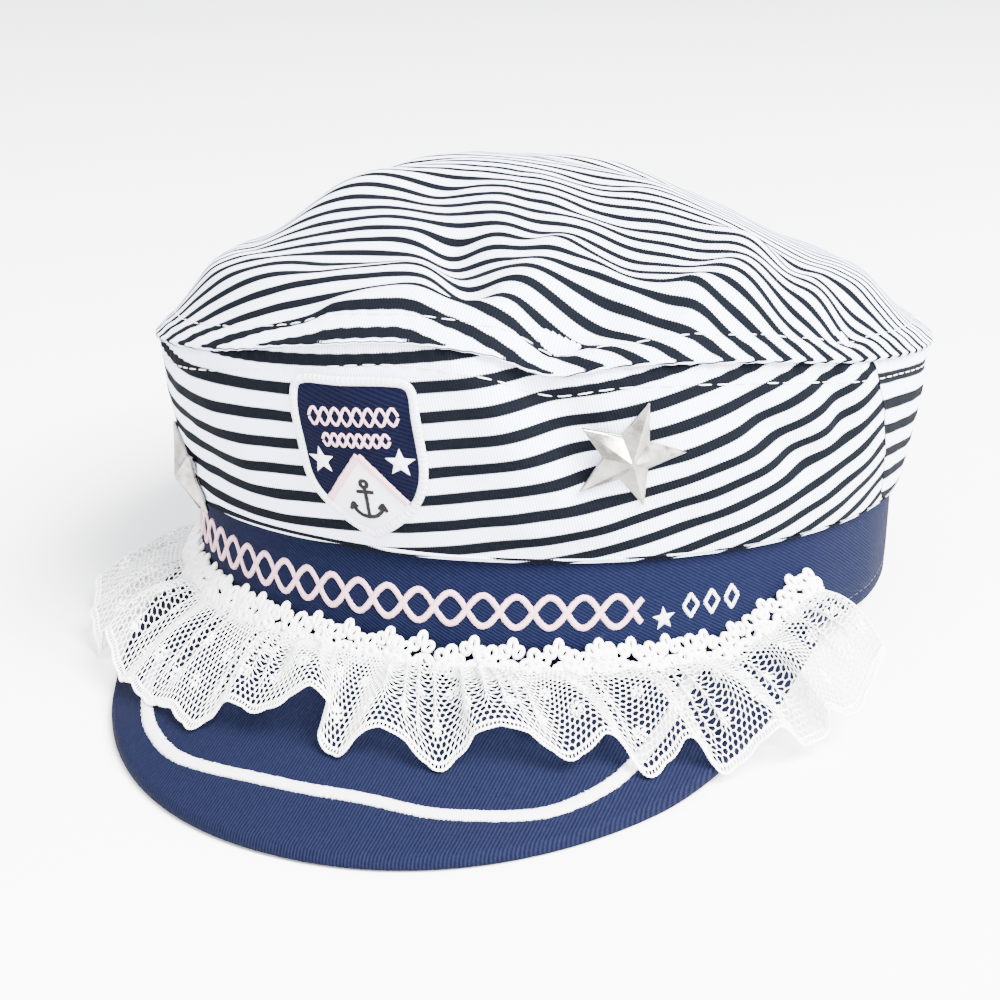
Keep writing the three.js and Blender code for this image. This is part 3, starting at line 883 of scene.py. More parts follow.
def ray_to(tree, points, directions, reach=60.0):
    """First hits along rays, as points and unit normals; a miss gives nan."""
    points, directions = np.broadcast_arrays(np.asarray(points, float), np.asarray(directions, float))
    shape = points.shape
    hits = np.full((points.size // 3, 3), np.nan)
    normals = np.full_like(hits, np.nan)
    for i, (p, d) in enumerate(zip(points.reshape(-1, 3), directions.reshape(-1, 3))):
        place, normal, _, _ = tree.ray_cast(Vector(p), Vector(d), reach)
        if place is not None:
            hits[i] = place
            normals[i] = normal if normal.dot(Vector(d)) < 0 else -normal
    return hits.reshape(shape), normals.reshape(shape)


def round_section(side, up, sides, flat=1.0):
    """Turns around a round section, and a row of directions to its points for each place on a line."""
    turns = np.linspace(0, 2 * math.pi, sides, endpoint=False)
    ring = side[:, None] * np.cos(turns)[None, :, None] + up[:, None] * np.sin(turns)[None, :, None] * flat
    return turns, ring


def tube(batch, path, radius, closed, flat, normals, sides=6):
    """A round cord along a line; flat below 1 presses it towards the surface it lies on."""
    path = np.asarray(path, dtype=float)
    count = len(path)
    radius = np.broadcast_to(np.asarray(radius, dtype=float), (count,))
    if closed:
        tangent = unit(np.roll(path, -1, axis=0) - np.roll(path, 1, axis=0))
    else:
        tangent = unit(np.gradient(path, axis=0))
    side = unit(np.cross(tangent, normals))
    turns, ring = round_section(side, unit(np.cross(side, tangent)), sides, flat)
    points = path[:, None] + ring * radius[:, None, None]
    faces = as_triangles(grid_faces(count, sides, wrap_rows=closed, wrap_columns=True))[:, ::-1]
    if not closed:
        faces = np.concatenate([faces, end_fans(count, sides)])
    uv = np.stack(np.broadcast_arrays(run_along(path)[:, None], (turns * radius[0])[None, :]), axis=-1)
    batch.add(points, faces, uv)


def stitches(batch, starts, ends, normals, radius, arch=0.0, sides=6, profile=STITCH_PROFILE):
    """Many short stitches at once, each a closed spindle that lies on the cloth."""
    along = ends - starts
    side = unit(np.cross(along, normals))
    up = unit(np.cross(side, along))
    turns, ring = round_section(side, up, sides)
    rings = []
    for share, thick in profile:
        centre = starts + along * share + up * arch * math.sin(math.pi * share)
        rings.append(centre[:, None] + ring * radius * thick)
    points = np.stack(rings, axis=1)
    count, levels = points.shape[:2]
    one = as_triangles(grid_faces(levels, sides, wrap_columns=True))[:, ::-1]
    one = np.concatenate([one, end_fans(levels, sides)])
    faces = (one[None] + (np.arange(count) * levels * sides)[:, None, None]).reshape(-1, 3)
    uv = np.zeros((count, levels, sides, 2))
    shares = np.array(profile)[:, 0]
    uv[..., 0] = shares[None, :, None] * 3 + np.arange(count)[:, None, None] * 0.37
    uv[..., 1] = (turns * radius)[None, None, :]
    batch.add(points, faces, uv)


def ribbon(batch, path, normals, width, height, sink=0.25, seed=0, ragged=0.0, columns=7):
    """Satin stitching along a line: a low rounded strip whose edges step with each thread."""
    path, normals = np.asarray(path, dtype=float), np.asarray(normals, dtype=float)
    tangent = unit(np.gradient(path, axis=0))
    side = unit(np.cross(tangent, normals))
    draw = np.random.default_rng(seed)
    count = len(path)
    width = np.broadcast_to(np.asarray(width, dtype=float), (count,))
    left = width / 2 + ragged * draw.normal(size=count)
    right = width / 2 + ragged * draw.normal(size=count)
    swing = np.linspace(-1, 1, columns)
    offset = np.where(swing[None, :] < 0, left[:, None] * swing, right[:, None] * swing)
    rise = height * np.sqrt(np.clip(1 - swing ** 2, 0, 1)) ** 0.8
    flat = path[:, None] + side[:, None] * offset[..., None]
    top = flat + normals[:, None] * (rise - sink * 0.2)[None, :, None]
    under = flat - normals[:, None] * sink
    points = np.concatenate([top, under[:, ::-1][:, 1:-1]], axis=1)
    loop = points.shape[1]
    faces = as_triangles(grid_faces(count, loop, wrap_columns=True))
    faces = np.concatenate([faces, end_fans(count, loop)])
    across = np.concatenate([offset, offset[:, ::-1][:, 1:-1]], axis=1)
    uv = np.stack([np.broadcast_to(run_along(path)[:, None], across.shape), across], axis=-1)
    batch.add(points, outward(points, faces), uv)


def resample(path, step):
    """The same line with points at even steps."""
    path = np.asarray(path, dtype=float)
    return evenly(path, max(int(round(run_along(path)[-1] / step)), 2) + 1)


def smooth_line(knots, count):
    """A smooth curve through knots, with evenly spread points."""
    knots = np.asarray(knots, dtype=float)
    ends = np.concatenate([[2 * knots[0] - knots[1]], knots, [2 * knots[-1] - knots[-2]]])
    out = []
    t = np.linspace(0, 1, 24, endpoint=False)[:, None]
    for i in range(len(knots) - 1):
        four = ends[i:i + 4]
        gaps = [max(np.linalg.norm(b - a), 1e-6) ** 0.5 for a, b in zip(four, four[1:])]
        m1, c2, c3 = spline_terms(*four, *gaps)
        out.append(four[1] + m1 * t + c2 * t ** 2 + c3 * t ** 3)
    return evenly(np.concatenate(out + [knots[-1:]]), count)


class Patch:
    """A flat drawing in millimetres, x right and y up, laid on a cloth surface along one direction."""

    def __init__(self, tree, centre, side, up, out):
        self.tree = tree
        self.centre, self.side, self.up, self.out = (np.asarray(v, float) for v in (centre, side, up, out))

    def lay(self, x, y, lift=0.0):
        x, y, lift = np.broadcast_arrays(*(np.asarray(v, dtype=float) for v in (x, y, lift)))
        start = self.centre + x[..., None] * self.side + y[..., None] * self.up + 25 * self.out
        hits, _ = ray_to(self.tree, start, -self.out)
        flat = start - 25 * self.out
        hits = np.where(np.isnan(hits), flat, hits)
        return hits + lift[..., None] * self.out

    def satin(self, batch, x, y, lift, width, height, sink, seed, ragged):
        """Satin stitching along a drawn line."""
        places = self.lay(x, y, lift)
        ribbon(batch, places, np.tile(self.out, (len(places), 1)), width, height, sink, seed, ragged)


def blob(batch, patch, outline, height, lift, rings, power, thread_angle=0.0, centre=(0, 0), sink=0.3):
    """A raised embroidered shape: outline gives x and y for each turn around its centre."""
    edge_x, edge_y = outline
    shares = np.linspace(0, 1, rings) ** 0.8
    shares[0] = 0.02
    x = centre[0] + shares[:, None] * (edge_x - centre[0])
    y = centre[1] + shares[:, None] * (edge_y - centre[1])
    rise = lift + height * (1 - shares ** power)[:, None] + 0 * x
    top = patch.lay(x, y, rise)
    under = patch.lay(edge_x, edge_y, lift - sink + 0 * edge_x)[None]
    poles = patch.lay(np.full(2, centre[0]), np.full(2, centre[1]), np.array([lift - sink, lift + height]))
    points = np.concatenate([top, under])
    count = points.shape[1]
    total = len(points) * count
    faces = as_triangles(grid_faces(len(points), count, wrap_columns=True))
    faces = np.concatenate([faces, fan(total + 1, 0, count), fan(total, total - count, count, True)])
    all_points = np.concatenate([points.reshape(-1, 3), poles])
    c, s = math.cos(thread_angle), math.sin(thread_angle)
    flat_x = np.concatenate([x.ravel(), edge_x, [centre[0]] * 2])
    flat_y = np.concatenate([y.ravel(), edge_y, [centre[1]] * 2])
    uv = np.stack([flat_x * c + flat_y * s, flat_y * c - flat_x * s], axis=-1)
    batch.add(all_points, outward(all_points, faces), uv)


def star_outline(radius, waist, turn=0.0, per_side=5, x=0.0, y=0.0):
    """A five-pointed star's outline, from its top tip."""
    corners = []
    for k in range(10):
        angle = math.radians(turn + 90 + 36 * k)
        reach = radius if k % 2 == 0 else waist
        corners.append((x + reach * math.cos(angle), y + reach * math.sin(angle)))
    corners = np.array(corners + corners[:1])
    shares = np.linspace(0, 1, per_side, endpoint=False)[:, None]
    line = np.concatenate([a + (b - a) * shares for a, b in zip(corners[:-1], corners[1:])])
    return line[:, 0], line[:, 1]


# Where things sit on the crown's front panel

FRONT_TREE = tree_of(front_piece)
VISOR_TREE = tree_of(visor_piece)
BAND_TREE = tree_of(band_piece)
TOP_TREE = tree_of(top_piece)
SIDE_TREE = tree_of(front_piece, back_piece)


def panel_frame(angle, height):
    """The place, side, up and outward directions on the front panel, from the smooth section."""
    shares = np.linspace(0, 1, 801)
    around_angles = np.array([angle - 0.2, angle, angle + 0.2])
    curve, _ = section(around_angles, shares)
    outer = shares > 0.62
    pick = np.argmin(np.where(outer, np.abs(curve[1, :, 1] - height), 1e9))
    places = []
    for row, degrees in enumerate(around_angles):
        x, y = oval(degrees, curve[row, pick, 0])
        places.append(lean(np.array(x), np.array(y), curve[row, pick, 1]))
    x1, y1 = oval(angle, curve[1, pick + 8, 0])
    above = lean(np.array(x1), np.array(y1), curve[1, pick + 8, 1])
    side = unit(places[2] - places[0])
    up = unit(above - places[1])
    up = unit(up - side * np.dot(up, side))
    out = np.cross(side, up)
    return places[1], side, up, out


def badge_patch():
    place, side, up, out = panel_frame(BADGE_ANGLE, BADGE_HEIGHT)
    return Patch(FRONT_TREE, place, side, up, out)


def shield_outline(count, inset=0.0):
    """The badge's outline: almost square shoulders above, drawn in to a rounded point below."""
    turn = np.linspace(0, math.pi, count)
    x = BADGE_HALF_WIDTH * np.sign(np.cos(turn)) * np.abs(np.cos(turn)) ** (2 / 7)
    y = BADGE_SPLIT + (BADGE_TOP - BADGE_SPLIT) * np.sin(turn) ** (2 / 7)
    down = np.linspace(0, 1, count)[1:]
    low_x = BADGE_HALF_WIDTH * (1 - down ** BADGE_TAPER)
    low_y = BADGE_SPLIT - (BADGE_POINT + BADGE_SPLIT) * down
    x = np.concatenate([x, -low_x, low_x[::-1][1:]])
    y = np.concatenate([y, low_y, low_y[::-1][1:]])
    line = np.stack([x, y], axis=-1)
    line = resample(np.concatenate([line, line[:1]]), 0.05)
    pick = np.linspace(0, len(line) - 1, count, endpoint=False).astype(int)
    line = line[pick]
    tangent = unit(np.roll(line, -1, axis=0) - np.roll(line, 1, axis=0))
    inward = np.stack([-tangent[:, 1], tangent[:, 0]], axis=-1)
    line = line + inward * inset
    return line[:, 0], line[:, 1]


def inside_shield(x, y, inset):
    """Whether a flat place is inside the badge's outline moved in by an inset."""
    wide = BADGE_HALF_WIDTH - inset
    above = (np.abs(x) / wide) ** 7 + (np.abs(y - BADGE_SPLIT) / (BADGE_TOP - BADGE_SPLIT - inset)) ** 7 < 1
    down = np.clip((BADGE_SPLIT - y) / (BADGE_POINT + BADGE_SPLIT - 1.4 * inset), 0, 1)
    return np.where(y > BADGE_SPLIT, above, np.abs(x) < wide * (1 - down ** BADGE_TAPER))


def badge():
    """The sewn patch: twill field, merrowed edge, two stars, a chevron and plain generic stitching."""
    patch = badge_patch()
    field = Batch()
    blob(field, patch, shield_outline(160, 1.0), 0.10, lift=0.75, rings=26, power=8, sink=0.75)
    field_piece = field.build("badge_field_cloth", FIELD_TWILL)
    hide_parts("badge_field")
    edge_x, edge_y = shield_outline(960, BADGE_BORDER / 2)
    centre = patch.lay(edge_x, edge_y, 0.62)
    normals = np.tile(patch.out, (len(centre), 1))
    ribs = 1 + 0.10 * np.sin(np.arange(960) * 2 * math.pi / 4)
    merrow = Batch()
    tube(merrow, centre, BADGE_BORDER / 2 * ribs, True, 0.62, normals, 12)
    merrow_piece = merrow.build("badge_merrowed_edge", WHITE_SATIN)
    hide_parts("badge_border")
    lift = 0.82
    white = Batch()
    for x, y, turn in ((-8.9, -1.4, 4), (8.8, -0.8, -4)):
        blob(white, patch, star_outline(3.3, 1.45, turn, 4, x, y), 0.38, lift, 5, 2.0, 0.6, (x, y))
    blob(white, patch, chevron_ground(), 0.16, lift, 12, 8.0, 1.2, (0.0, -9.5))
    white_piece = white.build("badge_white_stitching", WHITE_SATIN)
    pink = Batch()
    for sign in (-1, 1):
        line = resample([(0.0, CHEVRON_TOP - 0.7), (sign * 8.8, CHEVRON_TOP - 11.6)], 0.4)
        patch.satin(pink, line[:, 0], line[:, 1], lift + 0.12, 1.7, 0.34, 0.3, 3 + sign, 0.05)
    for row_y, half, tall, pitch in ((8.9, 9.9, 1.75, 5.0), (3.9, 7.4, 1.3, 3.75)):
        for sign in (-1, 1):
            x = np.linspace(-half, half, 170)
            y = row_y + sign * tall * np.sin(2 * math.pi * x / pitch) + 0.03 * x
            over = lift + 0.06 * sign * np.cos(2 * math.pi * x / pitch)
            patch.satin(pink, x, y, over, 0.72, 0.34, 0.3, 8 + sign, 0.04)
    pink_piece = pink.build("badge_pink_stitching", PINK_SATIN)
    dark = Batch()
    for part in anchor_lines():
        patch.satin(dark, part[:, 0], part[:, 1], lift + 0.16, 1.0, 0.38, 0.3, 5, 0.04)
    dark_piece = dark.build("badge_anchor", BLACK_THREAD)
    return [field_piece, merrow_piece, white_piece, pink_piece, dark_piece]


def chevron_ground():
    """The white stitched ground below the chevron, down to the merrowed edge."""
    turn = np.linspace(0, 2 * math.pi, 96, endpoint=False)
    reach = np.linspace(0, 22, 441)
    x = reach[None, :] * np.sin(turn)[:, None]
    y = -9.5 + reach[None, :] * np.cos(turn)[:, None]
    inside = inside_shield(x, y, BADGE_BORDER * 0.7) & (y < CHEVRON_TOP - 0.5 - 1.22 * np.abs(x))
    last = np.argmin(inside, axis=1) - 1
    rows = np.arange(len(turn))
    return x[rows, last], y[rows, last]


def anchor_lines():
    """A small plain anchor: ring, shank, stock, arms and flukes."""
    x0, y0, tall = 0.0, -9.4, 8.2
    turn = np.linspace(0, 2 * math.pi, 24)
    ring = np.stack([x0 + 0.75 * np.sin(turn), y0 + tall / 2 - 0.5 + 0.75 * np.cos(turn)], axis=-1)
    shank = resample([(x0, y0 + tall / 2 - 1.2), (x0, y0 - tall / 2)], 0.3)
    stock = resample([(x0 - 1.9, y0 + tall / 2 - 2.4), (x0 + 1.9, y0 + tall / 2 - 2.4)], 0.3)
    swing = np.radians(np.linspace(-68, 68, 24))
    arms = np.stack([x0 + 3.7 * np.sin(swing), y0 - tall / 2 + 3.7 - 3.7 * np.cos(swing)], axis=-1)
    flukes = []
    for sign, end in ((-1, arms[0]), (1, arms[-1])):
        corners = [end + (sign * x, y) for x, y in ((0.7, -0.9), (-0.1, 0.7), (-1.0, -0.3))]
        flukes.append(resample(corners, 0.25))
    return [ring, shank, stock, arms] + flukes


# The star studs

def stud(name, angle, height, turn):
    """A pressed five-pointed star with sharp ridges, its rim turned down onto the cloth."""
    place, side, up, out = panel_frame(angle, height)
    hits, _ = ray_to(FRONT_TREE, place + 25 * out, -out)
    seat = hits + out * 0.35
    tips = np.column_stack(star_outline(STUD_RADIUS, STUD_WAIST, turn, 1))
    rows = []
    for share, level in STUD_LEVELS:
        ring = tips * share
        if share > 0.9:
            ring = tips * (1 - (1 - share) * 8.0 / np.linalg.norm(tips, axis=1, keepdims=True))
        rows.append(np.column_stack([ring, np.full(10, level)]))
    local = np.concatenate(rows + [[[0, 0, STUD_HEIGHT]], [[0, 0, -0.3]]])
    points = seat + local[:, :1] * side + local[:, 1:2] * up + local[:, 2:] * out
    faces = as_triangles(grid_faces(len(rows), 10, wrap_columns=True))
    peak = len(rows) * 10
    faces = np.concatenate([faces[:, ::-1], fan(peak, 0, 10), fan(peak + 1, peak - 10, 10, True)])
    piece = new_object("stud_" + name, points, outward(points, faces), STUD_METAL)
    bevel = piece.modifiers.new("soft_ridges", "BEVEL")
    bevel.width = 0.16 * MM
    bevel.segments = 2
    bevel.limit_method = "ANGLE"
    bevel.angle_limit = math.radians(18)
    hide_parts("star_stud_" + name)
    return piece


# Topstitching

def in_from_rim(x, y, length):
    """Plan points a length along the cloth in from the top panel's edge."""
    shares = np.linspace(1, 0.85, 61)[:, None]
    line_x = APEX_X + shares * (x - APEX_X)
    line_y = APEX_Y + shares * (y - APEX_Y)
    step = np.sqrt(sum(np.diff(v, axis=0) ** 2 for v in (line_x, line_y, top_height(line_x, line_y))))
    run = np.concatenate([np.zeros((1, len(x))), np.cumsum(step, axis=0)])
    pick = np.argmax(run >= length, axis=0)
    columns = np.arange(len(x))
    return line_x[pick, columns], line_y[pick, columns]


def seam_stitches():
    """Topstitching along both sides of the crown's seam."""
    batch = Batch()
    for sign in (-1, 1):
        degrees = np.linspace(-180, 180, TOPSTITCHES + 1)[:-1]
        half = 0.36 * 360 / TOPSTITCHES
        ends = []
        for offset in (-half, half):
            d = degrees + offset
            x, y = oval(d, around("flare", d) + 0.5)
            if sign > 0:
                x, y = in_from_rim(x, y, TOPSTITCH_ABOVE)
                start = lean(x, y, top_height(x, y)) + np.array([0.0, 0.0, 30.0])
                down = np.tile([0.0, 0.0, -1.0], (len(x), 1))
                hit, normal = ray_to(TOP_TREE, start, down, 60)
            else:
                z = around("seam", d) - TOPSTITCH_BELOW
                start = lean(*oval(d, around("flare", d) + 25), z)
                base = lean(x, y, z)
                hit, normal = ray_to(SIDE_TREE, start, unit(base - start), 60)
            ends.append((hit, normal))
        (a, n1), (b, n2) = ends
        good = ~np.isnan(a[:, 0]) & ~np.isnan(b[:, 0])
        good &= np.linalg.norm(a - b, axis=1) < 6
        normals = unit(n1 + n2)[good]
        stitches(batch, a[good] + normals * 0.03, b[good] + normals * 0.03, normals, 0.16, 0.1)
    return batch.build("seam_topstitching", WHITE_THREAD)


def band_face(degrees, height):
    """Places and outward directions on the band's outer face."""
    degrees, height = np.broadcast_arrays(np.asarray(degrees, float), np.asarray(height, float))
    outside = band_point(degrees, 20.0, height)
    base = band_point(degrees, 0.0, height)
    out = unit(outside - base)
    hits, _ = ray_to(BAND_TREE, outside, -out)
    hits = np.where(np.isnan(hits), base, hits)
    return hits, out


def band_patch(degrees, height):
    place, out = band_face(degrees, height)
    side = unit(np.cross([0, 0, 1.0], out))
    return Patch(BAND_TREE, place, side, np.cross(out, side), out)


def band_stitches():
    """Navy topstitching near the band's lower edge."""
    batch = Batch()
    degrees = np.linspace(-180, 180, BAND_STITCHES + 1)[:-1]
    half = 0.38 * 360 / BAND_STITCHES
    a, n1 = band_face(degrees - half, BAND_STITCH_HEIGHT)
    b, n2 = band_face(degrees + half, BAND_STITCH_HEIGHT)
    stitches(batch, a, b, unit(n1 + n2), 0.17, 0.05)
    return batch.build("band_topstitching", NAVY_THREAD)


# The band's embroidery: a plain two-strand twist, a small star and three diamonds

def band_embroidery():
    pink, white = Batch(), Batch()
    degrees = np.linspace(TWIST_FROM, TWIST_TO, 1500)
    along = np.radians(degrees) * BAND_RADIUS
    for sign in (-1, 1):
        height = TWIST_HEIGHT + sign * TWIST_SWING * np.sin(2 * math.pi * along / TWIST_PITCH)
        over = 0.12 + 0.10 * sign * np.cos(2 * math.pi * along / TWIST_PITCH)
        places, out = band_face(degrees, height)
        ribbon(pink, places + out * over[:, None], out, 1.35, 0.42, 0.45, 40 + sign, 0.05)
    patch = band_patch(TWIST_STAR, TWIST_HEIGHT - 2.2)
    blob(white, patch, star_outline(2.7, 1.15, 3, 4), 0.45, 0.05, 5, 2.0, 0.4)
    for step in range(3):
        patch = band_patch(TWIST_STAR + 4.0 + 3.3 * step, TWIST_HEIGHT + 0.1 + 0.35 * step)
        line = resample([(-1.75, 0), (0, 2.5), (1.75, 0), (0, -2.5), (-1.75, 0)], 0.2)
        patch.satin(white, line[:, 0], line[:, 1], 0.06, 0.85, 0.38, 0.4, 51 + step, 0.05)
    return [pink.build("band_twist", PINK_SATIN), white.build("band_star_and_diamonds", WHITE_SATIN)]


# The visor's satin line

def visor_line():
    """A raised satin line that follows the visor's edge."""
    batch = Batch()
    line = smooth_line([(x + SHIFT_X, y + SHIFT_Y) for x, y in VISOR_LINE], 1300)
    start = np.column_stack([line, np.full(len(line), 60.0)])
    hits, normals = ray_to(VISOR_TREE, start, np.array([0, 0, -1.0]), 80)
    good = ~np.isnan(hits[:, 0])
    hits, normals = hits[good], normals[good]
    ribbon(batch, hits, normals, 2.9, 0.55, 0.3, 61, 0.09, 9)
    return batch.build("visor_satin_line", WHITE_SATIN)


badge_pieces = badge()
stud_pieces = [stud(*row) for row in STUDS]
sewn_pieces = [seam_stitches(), band_stitches(), visor_line()] + band_embroidery()
for piece in badge_pieces + stud_pieces + sewn_pieces:
    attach(piece, "root")


# The lace ruffle: a gathered net from the band's foot, worked out as a surface and then as threads

def lace_rise(degrees):
    return LACE_RISE * ease(LACE_RISE_FROM, 68.0, degrees)


def drop_to_visor(points):
    """Height of the visor under each point, or the table where there is none."""
    start = np.array(points, dtype=float)
    start[..., 2] = 60.0
    hits, _ = ray_to(VISOR_TREE, start, np.array([0.0, 0.0, -1.0]), 80)
    return np.nan_to_num(hits[..., 2], nan=0.0)


def seam_line(degrees, out, lift):
    """A line along the band's foot, held just above the visor."""
    line = band_point(degrees, out, lace_rise(degrees))
    ground = drop_to_visor(line)
    line[..., 2] = np.maximum(line[..., 2], ground) + lift
    return line


class Ruffle:
    """The ruffle's surface, sampled on a grid: u along the gathered cloth and v down its depth."""

    def __init__(self):
        edge = np.array([band_point(a, out, 0.0) for a, out, _ in RUFFLE_FOLDS])
        edge[:, 2] = [height for _, _, height in RUFFLE_FOLDS]
        self.edge = smooth_line(edge, 901)
        self.flat_width = np.linalg.norm(np.diff(self.edge, axis=0), axis=1).sum() * 1.04
        u = np.linspace(0, 1, 901)
        degrees = LACE_FROM + (LACE_TO - LACE_FROM) * u
        self.seam = seam_line(degrees, RUFFLE_START, 1.3)
        v = np.linspace(-HEADING / NET_DEPTH, 1, 45)
        run = self.edge - self.seam
        grid = self.seam[:, None] + run[:, None] * np.maximum(v, 0)[None, :, None]
        ground_edge = drop_to_visor(self.edge)
        free = np.clip(self.edge[:, 2] - ground_edge, 0, 12)
        arch = (1.2 + 0.22 * free)[:, None] * np.sin(math.pi * np.clip(v, 0, 1))[None, :]
        grid[..., 2] += arch
        turn = 2 * math.pi * (u * 47 + 0.9 * np.sin(u * 31) + 0.5 * np.sin(u * 77 + 1))
        gather = np.sin(math.pi * np.clip(v / 0.85, 0, 1)) ** 0.8
        along = unit(np.gradient(self.seam, axis=0))
        grid[..., 2] += 0.75 * np.sin(turn)[:, None] * gather[None, :]
        grid += along[:, None] * (0.8 * np.cos(turn)[:, None] * gather[None, :])[..., None]
        up = np.clip(-v * NET_DEPTH, 0, HEADING)
        inward = -unit(run * np.array([1, 1, 0]))
        grid += inward[:, None] * (0.35 * up)[None, :, None]
        grid[..., 2] += 0.95 * up[None, :]
        floor_height = drop_to_visor(grid)
        gap = grid[..., 2] - floor_height - 0.55
        soft_gap = 0.4 * np.exp(np.minimum(gap - 0.4, 0) / 0.8)
        grid[..., 2] = floor_height + 0.55 + np.where(gap > 0.4, gap, soft_gap)
        self.grid = grid
        self.v = v
        across = np.gradient(grid, axis=0)
        down = np.gradient(grid, axis=1)
        self.normal = unit(np.cross(down, across))

    def at(self, u, v):
        """Places and normals for a cloth position, both 0 to 1."""
        rows, columns = self.grid.shape[:2]
        x = np.clip(u, 0, 1) * (rows - 1)
        y = np.clip((v - self.v[0]) / (self.v[-1] - self.v[0]), 0, 1) * (columns - 1)
        i = np.minimum(x.astype(int), rows - 2)
        j = np.minimum(y.astype(int), columns - 2)
        fx, fy = (x - i)[..., None], (y - j)[..., None]
        out = []
        for field in (self.grid, self.normal):
            near = field[i, j] * (1 - fy) + field[i, j + 1] * fy
            far = field[i + 1, j] * (1 - fy) + field[i + 1, j + 1] * fy
            out.append(near * (1 - fx) + far * fx)
        return out[0], unit(out[1])

    def threads(self, batch, starts, ends, radius, sides, profile=STITCH_PROFILE):
        """Stitches between places in millimetres across and down the flat cloth."""
        scale = np.array([self.flat_width, NET_DEPTH])
        (a, n1), (b, n2) = (self.at(*(places / scale).T) for places in (starts, ends))
        stitches(batch, a, b, unit(n1 + n2), radius, 0.0, sides, profile)


def heading_shows(u):
    """How much of the net stands above the trim, in millimetres."""
    wave = np.sin(u * 61 + 0.6) + 0.6 * np.sin(u * 143 + 2.2)
    return np.clip(0.3 + 1.5 * wave, 0.0, HEADING)


def scallop(u, width):
    """The free edge's small scallops, as millimetres cut from the depth."""
    return 0.45 * (1 - np.abs(np.sin(math.pi * u * width / SCALLOP_PITCH)))


def ruffle_net(ruffle):
    """The hexagonal net as one thread for every side of every mesh."""
    batch = Batch()
    width = ruffle.flat_width
    columns = int(width / NET_PITCH)
    rows = int((NET_DEPTH + HEADING) / (NET_PITCH * 0.866)) + 1
    i, j = np.meshgrid(np.arange(columns), np.arange(rows), indexing="ij")
    x = (i + 0.5 * (j % 2)).ravel() * NET_PITCH + 0.4
    y = -HEADING + j.ravel() * NET_PITCH * 0.866
    top, side, low = 0.577 * NET_PITCH, 0.5 * NET_PITCH, 0.289 * NET_PITCH
    legs = (((0, top), (side, low)), ((-side, low), (0, top)), ((side, low), (side, -low)))
    starts = np.concatenate([np.column_stack([x + a[0], y + a[1]]) for a, _ in legs])
    ends = np.concatenate([np.column_stack([x + b[0], y + b[1]]) for _, b in legs])
    deep = NET_DEPTH - 1.0 - scallop(starts[:, 0] / width, width)
    keep = (np.maximum(starts[:, 1], ends[:, 1]) < deep) & (starts[:, 0] > 0.5) & (ends[:, 0] < width - 0.5)
    keep &= np.minimum(starts[:, 1], ends[:, 1]) > -heading_shows(starts[:, 0] / width)
    ruffle.threads(batch, starts[keep], ends[keep], NET_THREAD, 3, THREAD_PROFILE)
    return batch.build("lace_net", LACE_COTTON)


def ruffle_details(ruffle):
    """The net's woven flowers and its corded, scalloped edge."""
    flowers = Batch()
    width = ruffle.flat_width
    draw = np.random.default_rng(12)
    turns = np.radians(np.arange(6) * 60)
    starts, ends = [], []
    for row, depth in enumerate((0.36, 0.70)):
        for x in np.arange(5.0 + row * 5.0, width - 4, 10.0):
            spin = draw.uniform(0, 1)
            y = depth * NET_DEPTH + draw.uniform(-0.6, 0.6)
            for t in turns + spin:
                starts.append((x + 0.42 * math.cos(t), y + 0.42 * math.sin(t)))
                ends.append((x + 1.75 * math.cos(t), y + 1.75 * math.sin(t)))
    ruffle.threads(flowers, np.array(starts), np.array(ends), 0.36, 6)
    flower_piece = flowers.build("lace_flowers", LACE_COTTON)
    cords = Batch()
    u = np.linspace(0.001, 0.999, 1500)
    cut = scallop(u, width)
    for inset, radius in ((0.0, 0.33), (1.35, 0.26)):
        places, normals = ruffle.at(u, (NET_DEPTH - cut * (1 if inset == 0 else 0.8) - inset) / NET_DEPTH)
        wobble = radius * (1 + 0.16 * np.sin(u * width * 2 * math.pi / 0.9))
        tube(cords, places, wobble, False, 0.8, normals)
    x = np.arange(0.6, width - 0.5, 0.85)
    edge = np.column_stack([x, NET_DEPTH - scallop(x / width, width)])
    ruffle.threads(cords, edge, edge + (0.25, -1.35), 0.17, 4)
    for end in (0.001, 0.999):
        v = np.linspace(0.0, 1.0, 60)
        places, normals = ruffle.at(np.full(60, end), v)
        tube(cords, places, 0.26, False, 0.8, normals)
    cord_piece = cords.build("lace_corded_edge", LACE_COTTON)
    return [flower_piece, cord_piece]


# The trim: needle lace of small roses and leaves in round cord, along the band's foot

def closed_loop(centre, long, wide, turn, count=12):
    t = np.linspace(0, 2 * math.pi, count, endpoint=False)
    x, y = long * np.cos(t), wide * np.sin(t)
    c, s = math.cos(turn), math.sin(turn)
    return np.column_stack([centre[0] + x * c - y * s, centre[1] + x * s + y * c])


class Trim:
    """Lays a drawing in millimetres along the band's foot, x along and y up."""

    def __init__(self):
        degrees = np.linspace(LACE_FROM + 0.4, LACE_TO + 0.6, 900)
        self.line = seam_line(degrees, TRIM_OUT, TRIM_LIFT)
        outside = seam_line(degrees, TRIM_OUT + 1.0, TRIM_LIFT)
        out = unit((outside - self.line) * np.array([1, 1, 0]))
        self.length = run_along(self.line)
        self.along = unit(np.gradient(self.line, axis=0))
        self.face = unit(out * math.cos(TRIM_TILT) + np.array([0, 0, math.sin(TRIM_TILT)]))
        self.up = unit(np.cross(self.face, self.along))
        self.up *= np.sign(self.up[:, 2:])

    def lay(self, flat, lift=0.0):
        flat = np.asarray(flat, dtype=float) * np.array([1.0, TRIM_TALL])
        x = np.clip(flat[..., 0], 0, self.length[-1])
        place, up, face = (
            np.stack([np.interp(x, self.length, field[:, k]) for k in range(3)], axis=-1)
            for field in (self.line, self.up, self.face)
        )
        lift = np.asarray(lift, dtype=float) + 0 * x
        return place + up * flat[..., 1:2] + face * lift[..., None], unit(face)


